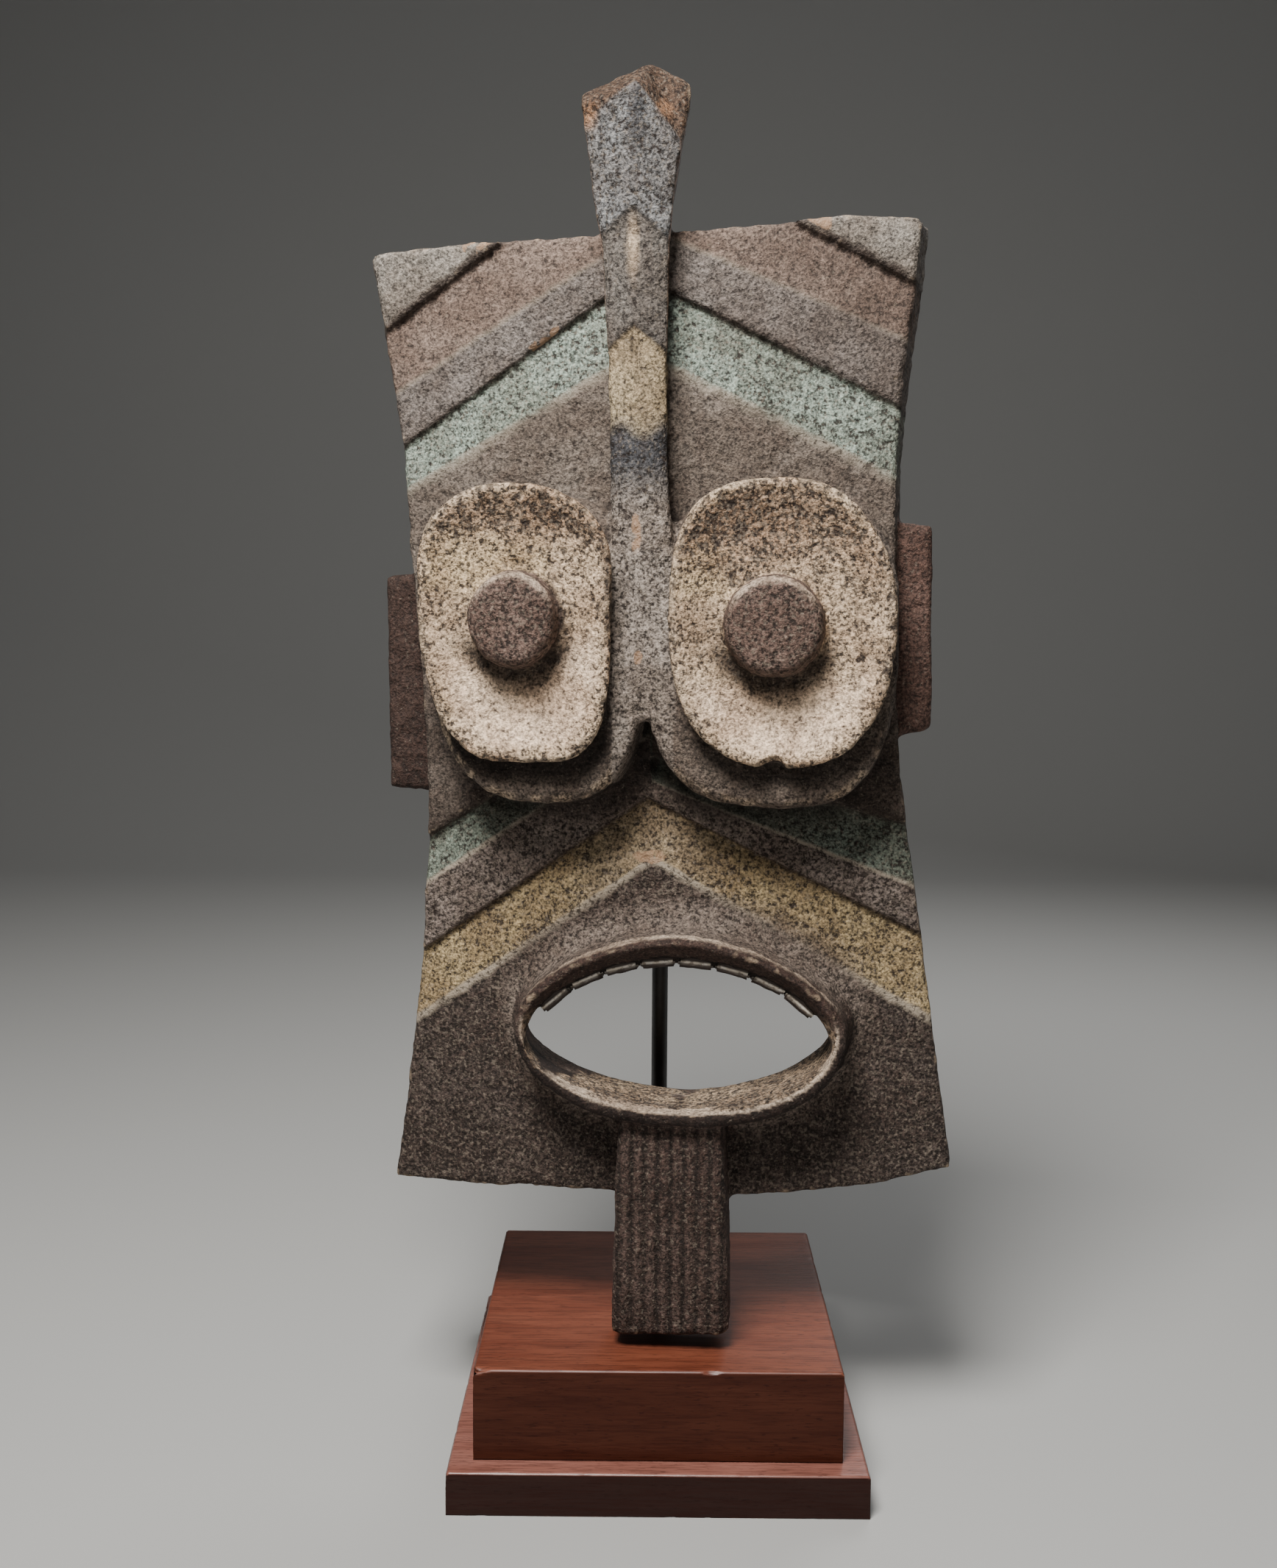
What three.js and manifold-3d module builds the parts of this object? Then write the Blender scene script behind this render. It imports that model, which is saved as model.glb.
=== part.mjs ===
// A carved wooden face mask, upright on its own display stand.
// Millimetres, +Z up. The mask looks along -Y, and +X is the right-hand side as it is looked at.
// The origin is the middle of the stand's underside.
import * as THREE from 'three';
import { mergeVertices } from 'three/addons/utils/BufferGeometryUtils.js';
import Module from 'manifold-3d';

const wasm = await Module();
wasm.setup();

// Stand: a square plinth, a thicker square block on it, and a bent steel rod.
const plinthSide = 170;
const plinthHeight = 18;
const blockSide = 150;
const blockHeight = 38;
const edgeBreak = 0.8;
const rodDiameter = 7;
const rodSocketDepth = 20;
const rodBendRadius = 14;
const rodGripDepth = 18;
const gripHeight = 330;
const fitGap = 0.3;
const rodSides = 16;
const rodBendSteps = 6;

// The mask turns a little about the rod, and hangs just clear of the block.
const maskTurn = -5.5;
const chinClearance = 5;
const boardStandOff = 36;

// The board: heights are above the underside of the chin, x is across, and every depth is
// taken forward from the crown of the board's convex front.
const boardCrown = 9;
const boardHalfWidth = 115;
const boardBack = -27;
const boardWall = 15;
const boardFacets = 20;
const leftEdge = [[-119.7, 446.8], [-107, 368], [-103.5, 320], [-97, 222], [-103, 129], [-113.2, 53.6]];
const rightEdge = [
  [105.2, 457], [101.6, 416], [97.8, 383], [97.2, 330], [99.6, 250], [103.6, 219], [116.1, 132.5], [125.9, 67.4],
];
const bottomEdge = [[-113.2, 53.6], [-16, 54.6], [31, 54.2], [109.8, 61.8], [125.9, 67.4]];
const topEdge = [[-119.7, 446.8], [-64, 450.2], [9, 451.4], [50, 455.2], [60.6, 457.6], [105.2, 457]];
const edgeSteps = 14;
const edgeSearchSteps = 60;
const waistHeight = 215;
const topFlare = 0.24;
const lowFlare = 0.06;

// The hollow in the back.
const hollowRim = 15;
const hollowDraft = 9;
const hollowBottom = 74;
const hollowTop = 432;
const hollowSteps = 12;
const hollowCornerPower = 6;
const hollowEndWidth = 0.55;

// How far a blank or a cutter runs past the form that it is trimmed by or cuts through.
const cutPast = 20;
const blankFront = 6;
const cutHalfWidth = 70;
const cutHead = 640;
const cutBack = -60;
const cutFront = 60;

// Chevron relief. Each line is an apex height on its axis and a fall to each side, in mm per mm.
// A facet runs from one line to the next, sunk by the first depth at its top and the second below.
const browAxis = -6;
const browLines = {
  corner: { apex: [488.8, 485.1], fall: [0.675, 0.496] },
  redRidge: { apex: [450.9, 452.9], fall: [0.591, 0.418] },
  greenStep: { apex: [436.5, 433.2], fall: [0.678, 0.487] },
  greenRidge: { apex: [405.3, 404], fall: [0.555, 0.486] },
};
const cheekAxis = -1.5;
const cheekLines = {
  greenStep: { apex: [264.7, 240.3], fall: [0.634, 0.257] },
  greenRidge: { apex: [249.8, 230.1], fall: [0.676, 0.392] },
  ochreStep: { apex: [223.6, 222.2], fall: [0.696, 0.49] },
  ochreRidge: { apex: [197.4, 199.2], fall: [0.707, 0.575] },
};
const bandDepth = 4;
const cornerDepth = 3.6;
const greyDip = 1;
const chevronSteps = 8;
const chevronReach = 136;

// The bar that runs from the crest down to the nose: height, left, right, front and back.
const barSections = [
  [256, -13, 8, 23.5, -8],
  [300, -14.8, 9.5, 23, -8],
  [335, -16.5, 8, 22, -8],
  [360, -17.2, 5.7, 21, -8],
  [402, -18, 5.3, 19.5, -9],
  [428, -19.6, 5.3, 19, -11],
  [446, -20.9, 5.6, 18.6, -13],
  [459, -23.3, 6.9, 19, -13],
  [480, -25.6, 10.2, 21.5, -11],
  [499, -28.8, 14.3, 25, -7],
  [512, -30.2, 16, 28, -3],
  [522, -31.2, 17.4, 30, 0],
];
const barBackTaper = 2.5;
const barSideDrop = 3.6;
const barShoulder = 0.32;
const barShoulderIn = 0.22;
const barStep = 1.1;
const barStepSpread = 0.3;
const lowerVee = { x: -7.6, apex: 410.9, fall: [0.81, 0.77] };
const upperVee = { x: -7.9, apex: 455.8, fall: [0.735, 0.85] };
const crestRoof = { x: -2.2, apex: 513.3, fall: [0.409, 0.531] };
const crestBrow = { x: -6.6, apex: 501, fall: [0.72, 1.2] };
const crestBrowDepth = 26;
const crestRoofDepth = 9;
const crestReach = 2;

// Ovals: a centre, four half-widths, and a roundness for each quarter.
const leftDisc = {
  x: -53.4, z: 314.4, left: 38.1, right: 39.3, up: 34.7, down: 75,
  upperLeft: 2.36, upperRight: 2.21, lowerLeft: 2.53, lowerRight: 4.56,
};
const rightDisc = {
  x: 52.7, z: 295.7, left: 44.8, right: 43.5, up: 55.1, down: 57.3,
  upperLeft: 3.02, upperRight: 2.17, lowerLeft: 2.42, lowerRight: 2.4,
};
const leftTier = {
  x: -46, z: 300, left: 45, right: 43.7, up: 46, down: 77.6,
  upperLeft: 2.5, upperRight: 2.5, lowerLeft: 2.5, lowerRight: 3.3,
};
const rightTier = {
  x: 52, z: 300, left: 55, right: 45.5, up: 48, down: 78,
  upperLeft: 2.5, upperRight: 2.5, lowerLeft: 3.1, lowerRight: 3,
};
const leftPupil = round(-50.2, 295.9, 17.7, 18.4);
const rightPupil = round(49, 293.8, 18.6, 18.9);
const ovalSteps = 40;
const pupilSteps = 28;

const tierFront = 25;
const tierRound = 3.5;
const tierBack = -12;
const tierFootSpread = 1.5;
const tierProfile = [[0, 1], [0.35, 0.35], [1.3, 0], [3.6, -0.06]];
const tierLeanFrom = 288;
const tierLean = 0.26;
const discFront = 36;
const discLip = 6;
const discBack = -9;
const discRound = 1.4;
const discRimFlat = 2.2;
const discUndercut = 2.5;
const dishDepth = 5.5;
const dishWidth = 20;
const dishSteps = [0, 0.16, 0.4, 0.7, 1];
const pupilFront = 45;
const pupilFlare = 1.6;
const pupilRound = 2.6;
const pupilSink = 3;

// The mouth: a raised oval ring round an open slot, with a row of teeth under the upper lip.
const ring = {
  x: 12.5, z: 131.2, left: 67.7, right: 67.8, up: 37.8, down: 40.9,
  upperLeft: 1.78, upperRight: 1.68, lowerLeft: 2.14, lowerRight: 2.22,
};
const slot = {
  x: 12.2, z: 123.5, left: 63.4, right: 62.4, up: 36.5, down: 27,
  upperLeft: 1.9, upperRight: 1.86, lowerLeft: 1.75, lowerRight: 1.7,
};
const ringFront = 25;
const ringSkirt = 13;
const ringRound = 6;
const ringFoot = 6;
const ringSkirtEdge = 0.4;
const ringSkirtFoot = 2.2;
const ringSkirtRise = 4.5;
const ringBulge = 1.2;
const upperLipWidth = 2.6;
const cornerLipWidth = 3.8;
const lowerLipWidth = 6.4;
const upperLipSetBack = 8;
const lowerLipSetBack = 1.5;
const slotLeftFlare = 10;
const toothCount = 8;
const toothFrom = 156;
const toothTo = 25;
const toothGap = 1.3;
const toothDrop = 3.2;
const toothRoot = 2.4;
const toothFront = 16.2;
const toothThickness = 6;
const arcSteps = 400;
const arcRoundOff = 1e-9;

// The fluted beard under the mouth.
const chinTop = 90;
const chinSections = [
  { z: 0, left: -14.3, right: 34.2, front: 21.8, back: -8 },
  { z: 40, left: -13.8, right: 33, front: 21.6, back: -10 },
  { z: chinTop, left: -12.6, right: 31, front: 20, back: -10 },
];
const chinFlutes = 8;
const fluteDepth = 1.7;
const fluteSharpness = 1.5;
const fluteSteps = 4;
const chinCorner = 2.6;
const chinFootRound = 1.6;
const chinFootRise = 2.4;
const chinFootLimit = 3;

// The ears: square tabs on the edges of the board, set back behind its front.
const leftEar = [[-116.8, 314.3], [-92, 317.2], [-86, 221.4], [-115.9, 224.3]];
const rightEar = [[88, 338.6], [112.5, 335.6], [113.9, 252], [90, 246.4]];
const earFront = -15;
const earBack = -26;
const earRound = 1.6;

// Finishes.
const paint = {
  mask: { color: 0x5f5850, roughness: 0.92, metalness: 0 },
  rod: { color: 0x17181a, roughness: 0.5, metalness: 0.6 },
  block: { color: 0x5a2a1c, roughness: 0.4, metalness: 0 },
  plinth: { color: 0x6a3222, roughness: 0.4, metalness: 0 },
};

// Small helpers for ovals, curves and places.

function round(x, z, across, along) {
  return {
    x, z, left: across, right: across, up: along, down: along,
    upperLeft: 2, upperRight: 2, lowerLeft: 2, lowerRight: 2,
  };
}

// A place on the mask: across, forward of the board's crown, and up from the chin.
function at(x, forward, z) {
  return new THREE.Vector3(x, -(boardStandOff + forward), z);
}

function boardFront(x) {
  return -boardCrown * (x / boardHalfWidth) ** 2;
}

// Height of a two-sided line at x, from its apex and its fall to the left or the right.
function veeHeight(line, x) {
  const side = x < line.x ? 0 : 1;
  return line.apex - Math.abs(x - line.x) * line.fall[side];
}

function ovalPoint(oval, inset, angle) {
  const across = Math.cos(angle);
  const along = Math.sin(angle);
  const width = (across < 0 ? oval.left : oval.right) - inset;
  const height = (along < 0 ? oval.down : oval.up) - inset;
  const upper = across < 0 ? oval.upperLeft : oval.upperRight;
  const lower = across < 0 ? oval.lowerLeft : oval.lowerRight;
  const power = along < 0 ? lower : upper;
  return {
    x: oval.x + width * Math.sign(across) * Math.abs(across) ** (2 / power),
    z: oval.z + height * Math.sign(along) * Math.abs(along) ** (2 / power),
  };
}

// One ring of an oval loft. The inset is a number, or a function of the angle, and the depth is a
// number, or a function of the point and the angle.
function ovalRing(oval, inset, forward, steps) {
  const points = [];
  for (let i = 0; i < steps; i += 1) {
    const angle = (2 * Math.PI * i) / steps;
    const { x, z } = ovalPoint(oval, typeof inset === 'function' ? inset(angle) : inset, angle);
    const depth = typeof forward === 'function' ? forward(x, z, angle) : forward;
    points.push(at(x, depth, z));
  }
  return points;
}

// A smooth curve through a few points of an edge.
function edgeCurve(points, steps) {
  const curve = new THREE.SplineCurve(points.map(([x, z]) => new THREE.Vector2(x, z)));
  return curve.getSpacedPoints(steps).map((p) => [p.x, p.y]);
}

// Solids.

function signedVolume(positions, index) {
  const a = new THREE.Vector3();
  const b = new THREE.Vector3();
  const c = new THREE.Vector3();
  let sum = 0;
  for (let i = 0; i < index.length; i += 3) {
    a.fromArray(positions, index[i] * 3);
    b.fromArray(positions, index[i + 1] * 3);
    c.fromArray(positions, index[i + 2] * 3);
    sum += a.dot(b.cross(c)) / 6;
  }
  return sum;
}

function solidFrom(positions, index) {
  const triangles = index.slice();
  if (signedVolume(positions, triangles) < 0) {
    triangles.reverse();
  }
  return new wasm.Manifold(new wasm.Mesh({
    numProp: 3,
    vertProperties: new Float32Array(positions),
    triVerts: new Uint32Array(triangles),
  }));
}

function solidFromGeometry(geometry) {
  geometry.deleteAttribute('normal');
  geometry.deleteAttribute('uv');
  const merged = mergeVertices(geometry, 1e-4);
  return solidFrom(Array.from(merged.attributes.position.array), Array.from(merged.index.array));
}

// Triangles that close one ring, turned the same way round as the ring itself.
function capTriangles(points, drop) {
  const [u, v] = ['x', 'y', 'z'].filter((axis) => axis !== drop);
  const outline = points.map((p) => new THREE.Vector2(p[u], p[v]));
  const turn = Math.sign(THREE.ShapeUtils.area(outline));
  return THREE.ShapeUtils.triangulateShape(outline, []).map((triangle) => {
    const corners = triangle.map((i) => outline[i]);
    return Math.sign(THREE.ShapeUtils.area(corners)) === turn ? triangle : triangle.slice().reverse();
  });
}

// The faces between rings of equally many points, as a list of corner numbers.
function sideFaces(rings) {
  const count = rings[0].length;
  const index = [];
  for (let r = 0; r + 1 < rings.length; r += 1) {
    for (let i = 0; i < count; i += 1) {
      const a = r * count + i;
      const b = r * count + ((i + 1) % count);
      index.push(a, b, b + count, a, b + count, a + count);
    }
  }
  return index;
}

function positionsOf(rings) {
  return rings.flat().flatMap((p) => [p.x, p.y, p.z]);
}

// A closed solid through rings of equally many points, with its two ends capped flat.
function loft(rings, drop) {
  const index = sideFaces(rings);
  const last = (rings.length - 1) * rings[0].length;
  for (const [a, b, c] of capTriangles(rings[0], drop)) {
    index.push(c, b, a);
  }
  for (const [a, b, c] of capTriangles(rings[rings.length - 1], drop)) {
    index.push(a + last, b + last, c + last);
  }
  return solidFrom(positionsOf(rings), index);
}

// A flat outline seen from the front, carried straight through from one depth to another.
function slab(outline, back, front) {
  const ringAt = (depth) => outline.map(([x, z]) => at(x, depth, z));
  return loft([ringAt(back), ringAt(front)], 'y');
}

function together(solids) {
  return solids.reduce((sum, solid) => sum.add(solid));
}

function meshOf(solid, name, finish) {
  const { vertProperties, triVerts, numProp } = solid.getMesh();
  const geometry = new THREE.BufferGeometry();
  const position = [];
  for (let i = 0; i < vertProperties.length; i += numProp) {
    position.push(vertProperties[i], vertProperties[i + 1], vertProperties[i + 2]);
  }
  geometry.setAttribute('position', new THREE.Float32BufferAttribute(position, 3));
  geometry.setIndex(Array.from(triVerts));
  geometry.computeVertexNormals();
  const mesh = new THREE.Mesh(geometry, new THREE.MeshStandardMaterial({ ...finish, flatShading: true }));
  mesh.name = name;
  return mesh;
}

// The board.

// The side walls lean out towards the back, most at the top, and not at all at the waist.
function wallFlare(z) {
  const top = leftEdge[0][1];
  const rise = THREE.MathUtils.smoothstep(z, waistHeight, top);
  const low = THREE.MathUtils.smoothstep(waistHeight - z, 0, waistHeight);
  return topFlare * rise + lowFlare * low;
}

function boardOutline(depth) {
  const lean = (side) => ([x, z]) => [x + side * wallFlare(z) * (-boardCrown - depth), z];
  const left = edgeCurve(leftEdge, edgeSteps).map(lean(-1));
  const right = edgeCurve(rightEdge, edgeSteps).map(lean(1)).reverse();
  const bottom = edgeCurve(bottomEdge, edgeSteps / 2).slice(1, -1);
  const top = edgeCurve(topEdge, edgeSteps / 2).slice(1, -1).reverse();
  return [...left, ...bottom, ...right, ...top];
}

// A long body with the board's convex front, pushed back by a given distance.
function crownedBody(pushBack, back) {
  const reach = boardHalfWidth + cutPast;
  const section = [];
  for (let i = 0; i <= boardFacets; i += 1) {
    const x = -reach + (2 * reach * i) / boardFacets;
    section.push([x, boardFront(x) - pushBack]);
  }
  section.push([reach, back], [-reach, back]);
  const ringAt = (z) => section.map(([x, depth]) => at(x, depth, z));
  return loft([ringAt(-cutPast), ringAt(cutHead)], 'z');
}

function hollow() {
  const middle = (hollowTop + hollowBottom) / 2;
  const half = (hollowTop - hollowBottom) / 2;
  const edgeAt = (points, z) => {
    const curve = edgeCurve(points, edgeSearchSteps);
    const found = curve.find(([, height]) => height <= z);
    return (found ?? curve[curve.length - 1])[0];
  };
  const outline = (draft) => {
    const sideAt = (points, side) => Array.from({ length: hollowSteps + 1 }, (_, i) => {
      const t = Math.sin((Math.PI / 2) * ((2 * i) / hollowSteps - 1));
      const pinch = (1 - Math.abs(t) ** hollowCornerPower) ** (1 / hollowCornerPower);
      const z = middle + t * (half - draft / 2);
      const wall = edgeAt(points, z) - side * (hollowRim + draft);
      return [wall * (hollowEndWidth + (1 - hollowEndWidth) * pinch), z];
    });
    return [...sideAt(leftEdge, -1), ...sideAt(rightEdge, 1).reverse()];
  };
  const ringAt = (depth, draft) => outline(draft).map(([x, z]) => at(x, depth, z));
  const well = loft([ringAt(boardBack - cutPast, 0), ringAt(boardBack, 0), ringAt(0, hollowDraft)], 'y');
  return well.intersect(crownedBody(boardWall, boardBack - 2 * cutPast));
}

// One facet of the relief on one side, as the wedge of wood that is carved away.
function facetWedge(axis, side, upper, upperDepth, lower, lowerDepth) {
  const which = side < 0 ? 0 : 1;
  const rings = [];
  for (let i = 0; i <= chevronSteps; i += 1) {
    const out = (chevronReach * i) / chevronSteps;
    const x = axis + side * out;
    const front = boardFront(x);
    const top = upper.apex[which] - out * upper.fall[which];
    const bottom = lower.apex[which] - out * lower.fall[which];
    rings.push([
      at(x, front - upperDepth, top),
      at(x, front - lowerDepth, bottom),
      at(x, front + cutPast, bottom),
      at(x, front + cutPast, top),
    ]);
  }
  return loft(rings, 'x');
}

function reliefWedges() {
  const { corner, redRidge, greenStep, greenRidge } = browLines;
  const cheek = cheekLines;
  const wedges = [];
  for (const side of [-1, 1]) {
    wedges.push(
      facetWedge(browAxis, side, corner, cornerDepth, redRidge, 0),
      facetWedge(browAxis, side, redRidge, 0, greenStep, greyDip),
      facetWedge(browAxis, side, greenStep, bandDepth, greenRidge, 0),
      facetWedge(cheekAxis, side, cheek.greenStep, bandDepth, cheek.greenRidge, 0),
      facetWedge(cheekAxis, side, cheek.greenRidge, 0, cheek.ochreStep, greyDip),
      facetWedge(cheekAxis, side, cheek.ochreStep, bandDepth, cheek.ochreRidge, 0),
    );
  }
  return together(wedges);
}

function board() {
  const ringAt = (depth) => boardOutline(depth).map(([x, z]) => at(x, depth, z));
  const blank = loft([ringAt(boardBack), ringAt(blankFront)], 'y');
  return blank
    .intersect(crownedBody(0, boardBack - cutPast))
    .subtract(hollow())
    .subtract(reliefWedges());
}

// The crest and nose bar.

function barLoft(raise) {
  const rings = barSections.map(([z, left, right, front, back]) => {
    const width = right - left;
    const ridge = left + width / 2;
    const side = front + raise - barSideDrop;
    const shoulder = front + raise - barSideDrop * barShoulder;
    return [
      at(left, back, z),
      at(left - raise * barStepSpread, side, z),
      at(left + width * barShoulderIn, shoulder, z),
      at(ridge, front + raise, z),
      at(right - width * barShoulderIn, shoulder, z),
      at(right + raise * barStepSpread, side, z),
      at(right - barBackTaper, back, z),
    ];
  });
  return loft(rings, 'z');
}

// Everything above a two-sided line, as seen from the front.
function aboveVee(line) {
  const outline = [-cutHalfWidth, line.x, cutHalfWidth].map((x) => [x, veeHeight(line, x)]);
  return slab([...outline, [cutHalfWidth, cutHead], [-cutHalfWidth, cutHead]], cutBack, cutFront);
}

// The wood above the crest: level through the back, then falling to the brow line at the front.
function crestCut() {
  const ringAt = (line, depth) => [
    ...[-cutHalfWidth, line.x, cutHalfWidth].map((x) => at(x, depth, veeHeight(line, x))),
    at(cutHalfWidth, depth, cutHead),
    at(-cutHalfWidth, depth, cutHead),
  ];
  const steep = {
    x: crestRoof.x + (crestBrow.x - crestRoof.x) * crestReach,
    apex: crestRoof.apex + (crestBrow.apex - crestRoof.apex) * crestReach,
    fall: crestBrow.fall.map((fall, i) => crestRoof.fall[i] + (fall - crestRoof.fall[i]) * crestReach),
  };
  const front = crestRoofDepth + (crestBrowDepth - crestRoofDepth) * crestReach;
  return loft([ringAt(crestRoof, cutBack), ringAt(crestRoof, crestRoofDepth), ringAt(steep, front)], 'y');
}

function bar() {
  return barLoft(0)
    .add(barLoft(barStep).intersect(aboveVee(lowerVee)))
    .add(barLoft(2 * barStep).intersect(aboveVee(upperVee)))
    .subtract(crestCut());
}

// The eyes.

function tier(oval) {
  const lean = (drop) => (x, z) => tierFront - drop - Math.max(0, z - tierLeanFrom) * tierLean;
  return loft([
    ovalRing(oval, -tierFootSpread, tierBack, ovalSteps),
    ...tierProfile.map(([inset, drop]) => (
      ovalRing(oval, inset * tierRound, lean(drop * tierRound), ovalSteps))),
  ], 'y');
}

function disc(oval) {
  const dish = dishSteps.map((t) => {
    const fall = Math.sin((Math.PI / 2) * t);
    return ovalRing(oval, discRimFlat + dishWidth * t, discFront - dishDepth * fall, ovalSteps);
  });
  return loft([
    ovalRing(oval, discUndercut, discBack, ovalSteps),
    ovalRing(oval, discUndercut, discFront - discLip - discRound, ovalSteps),
    ovalRing(oval, discRound / 4, discFront - discLip, ovalSteps),
    ovalRing(oval, 0, discFront - discRound, ovalSteps),
    ovalRing(oval, discRound * 0.65, discFront, ovalSteps),
    ...dish,
  ], 'y');
}

function pupil(oval) {
  return loft([
    ovalRing(oval, -pupilFlare, discFront - dishDepth - pupilSink, pupilSteps),
    ovalRing(oval, 0, pupilFront - pupilRound, pupilSteps),
    ovalRing(oval, pupilRound * 0.35, pupilFront - pupilRound * 0.35, pupilSteps),
    ovalRing(oval, pupilRound * 1.25, pupilFront, pupilSteps),
  ], 'y');
}

function eyes() {
  return together([
    tier(leftTier), tier(rightTier),
    disc(leftDisc), disc(rightDisc),
    pupil(leftPupil), pupil(rightPupil),
  ]);
}

// The mouth.

function mouthRing() {
  const follow = (rise) => (x) => boardFront(x) + rise;
  return loft([
    ovalRing(ring, -ringSkirt, follow(-ringFoot), ovalSteps),
    ovalRing(ring, -ringSkirt, follow(-ringSkirtEdge), ovalSteps),
    ovalRing(ring, -ringSkirtRise, follow(ringSkirtFoot), ovalSteps),
    ovalRing(ring, -ringBulge, ringFoot, ovalSteps),
    ovalRing(ring, 0, ringFront - ringRound, ovalSteps),
    ovalRing(ring, ringRound / 12, ringFront - ringRound / 4, ovalSteps),
    ovalRing(ring, ringRound / 3, ringFront, ovalSteps),
    ovalRing(ring, ringRound / 2, ringFront, ovalSteps),
  ], 'y');
}

// How wide the flat front of the ring is, by the angle round the mouth.
function lipInset(angle) {
  const rise = Math.sin(angle);
  const end = rise > 0 ? upperLipWidth : lowerLipWidth;
  return cornerLipWidth + (end - cornerLipWidth) * Math.abs(rise);
}

// The slot is cut through the board, and opens in a funnel to the front of the ring.
function mouthOpening() {
  const throat = (x, z, angle) => {
    const upper = (1 + Math.sin(angle)) / 2;
    return ringFront - lowerLipSetBack - (upperLipSetBack - lowerLipSetBack) * upper;
  };
  const slotBehind = { ...slot, left: slot.left + slotLeftFlare };
  return loft([
    ovalRing(slotBehind, 0, cutBack, ovalSteps),
    ovalRing(slot, 0, throat, ovalSteps),
    ovalRing(ring, lipInset, ringFront, ovalSteps),
    ovalRing(ring, lipInset, ringFront + cutPast, ovalSteps),
  ], 'y');
}

// Angles that part a stretch of an oval into pieces of equal length along it.
function evenAngles(oval, from, to, count) {
  const fine = Array.from({ length: arcSteps + 1 }, (_, i) => from + ((to - from) * i) / arcSteps);
  const points = fine.map((angle) => ovalPoint(oval, 0, angle));
  const lengths = [0];
  for (let i = 1; i <= arcSteps; i += 1) {
    const step = Math.hypot(points[i].x - points[i - 1].x, points[i].z - points[i - 1].z);
    lengths.push(lengths[i - 1] + step);
  }
  return Array.from({ length: count + 1 }, (_, k) => {
    const goal = (lengths[arcSteps] * k) / count;
    return fine[lengths.findIndex((length) => length >= goal - arcRoundOff)];
  });
}

function tooth(from, to) {
  const a = ovalPoint(slot, 0, from);
  const b = ovalPoint(slot, 0, to);
  const along = new THREE.Vector2(b.x - a.x, b.z - a.z);
  const length = along.length() - toothGap;
  const height = toothDrop + toothRoot;
  const box = new THREE.BoxGeometry(length, toothThickness, height);
  box.translate(0, 0, (toothRoot - toothDrop) / 2);
  box.rotateY(-along.angle());
  const middle = at((a.x + b.x) / 2, toothFront - toothThickness / 2, (a.z + b.z) / 2);
  box.translate(middle.x, middle.y, middle.z);
  return solidFromGeometry(box);
}

function teeth() {
  const { degToRad } = THREE.MathUtils;
  const angles = evenAngles(slot, degToRad(toothFrom), degToRad(toothTo), toothCount);
  return together(Array.from({ length: toothCount }, (_, i) => tooth(angles[i], angles[i + 1])));
}

// The beard.

function chinRing({ z, left, right, front, back }, inset) {
  const across = right - left;
  const foot = (x) => (z < chinFootRound * chinFootLimit ? (chinFootRise * (x - left)) / across : 0);
  const points = [[left + inset, back + inset], [left + inset, front - chinCorner - inset]];
  const steps = chinFlutes * fluteSteps;
  for (let i = 0; i <= steps; i += 1) {
    const x = left + chinCorner + ((across - 2 * chinCorner) * i) / steps;
    const groove = fluteDepth * Math.abs(Math.cos((Math.PI * i) / fluteSteps)) ** fluteSharpness;
    points.push([x, front - inset - groove]);
  }
  points.push([right - inset, front - chinCorner - inset], [right - inset, back + inset]);
  return points.map(([x, depth]) => at(x, depth, z + foot(x)));
}

function chin() {
  const [foot, middle, top] = chinSections;
  return loft([
    chinRing(foot, chinFootRound),
    chinRing({ ...foot, z: chinFootRound }, 0),
    chinRing(middle, 0),
    chinRing(top, 0),
  ], 'z');
}

// The ears.

function ear(outline) {
  const middle = outline.reduce((sum, [x, z]) => [sum[0] + x / 4, sum[1] + z / 4], [0, 0]);
  const shrink = outline.map(([x, z]) => [
    x - Math.sign(x - middle[0]) * earRound,
    z - Math.sign(z - middle[1]) * earRound,
  ]);
  const ringAt = (points, depth) => points.map(([x, z]) => at(x, depth, z));
  return loft([
    ringAt(outline, earBack),
    ringAt(outline, earFront - earRound),
    ringAt(shrink, earFront),
  ], 'y');
}

// The rod, its way into the block and its way into the back of the mask.

// A round bar along a path that stays in the plane of the rod's bend.
function roundBar(path, radius) {
  const side = new THREE.Vector3(1, 0, 0);
  const rings = path.map((point, i) => {
    const before = path[Math.max(0, i - 1)];
    const after = path[Math.min(path.length - 1, i + 1)];
    const ahead = after.clone().sub(before).normalize();
    const up = new THREE.Vector3().crossVectors(side, ahead);
    return Array.from({ length: rodSides }, (_, k) => {
      const angle = (2 * Math.PI * (k + 0.5)) / rodSides;
      return point.clone()
        .addScaledVector(side, radius * Math.cos(angle))
        .addScaledVector(up, radius * Math.sin(angle));
    });
  });
  return rings;
}

function rod(footZ, bendZ) {
  const reach = boardStandOff - boardWall + rodGripDepth - fitGap;
  const path = [new THREE.Vector3(0, 0, footZ)];
  for (let i = 0; i <= rodBendSteps; i += 1) {
    const angle = (Math.PI / 2) * (i / rodBendSteps);
    path.push(new THREE.Vector3(
      0,
      -rodBendRadius * (1 - Math.cos(angle)),
      bendZ - rodBendRadius * (1 - Math.sin(angle)),
    ));
  }
  path.push(new THREE.Vector3(0, -reach, bendZ));
  const rings = roundBar(path, rodDiameter / 2);
  return loftEnds(rings);
}

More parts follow.
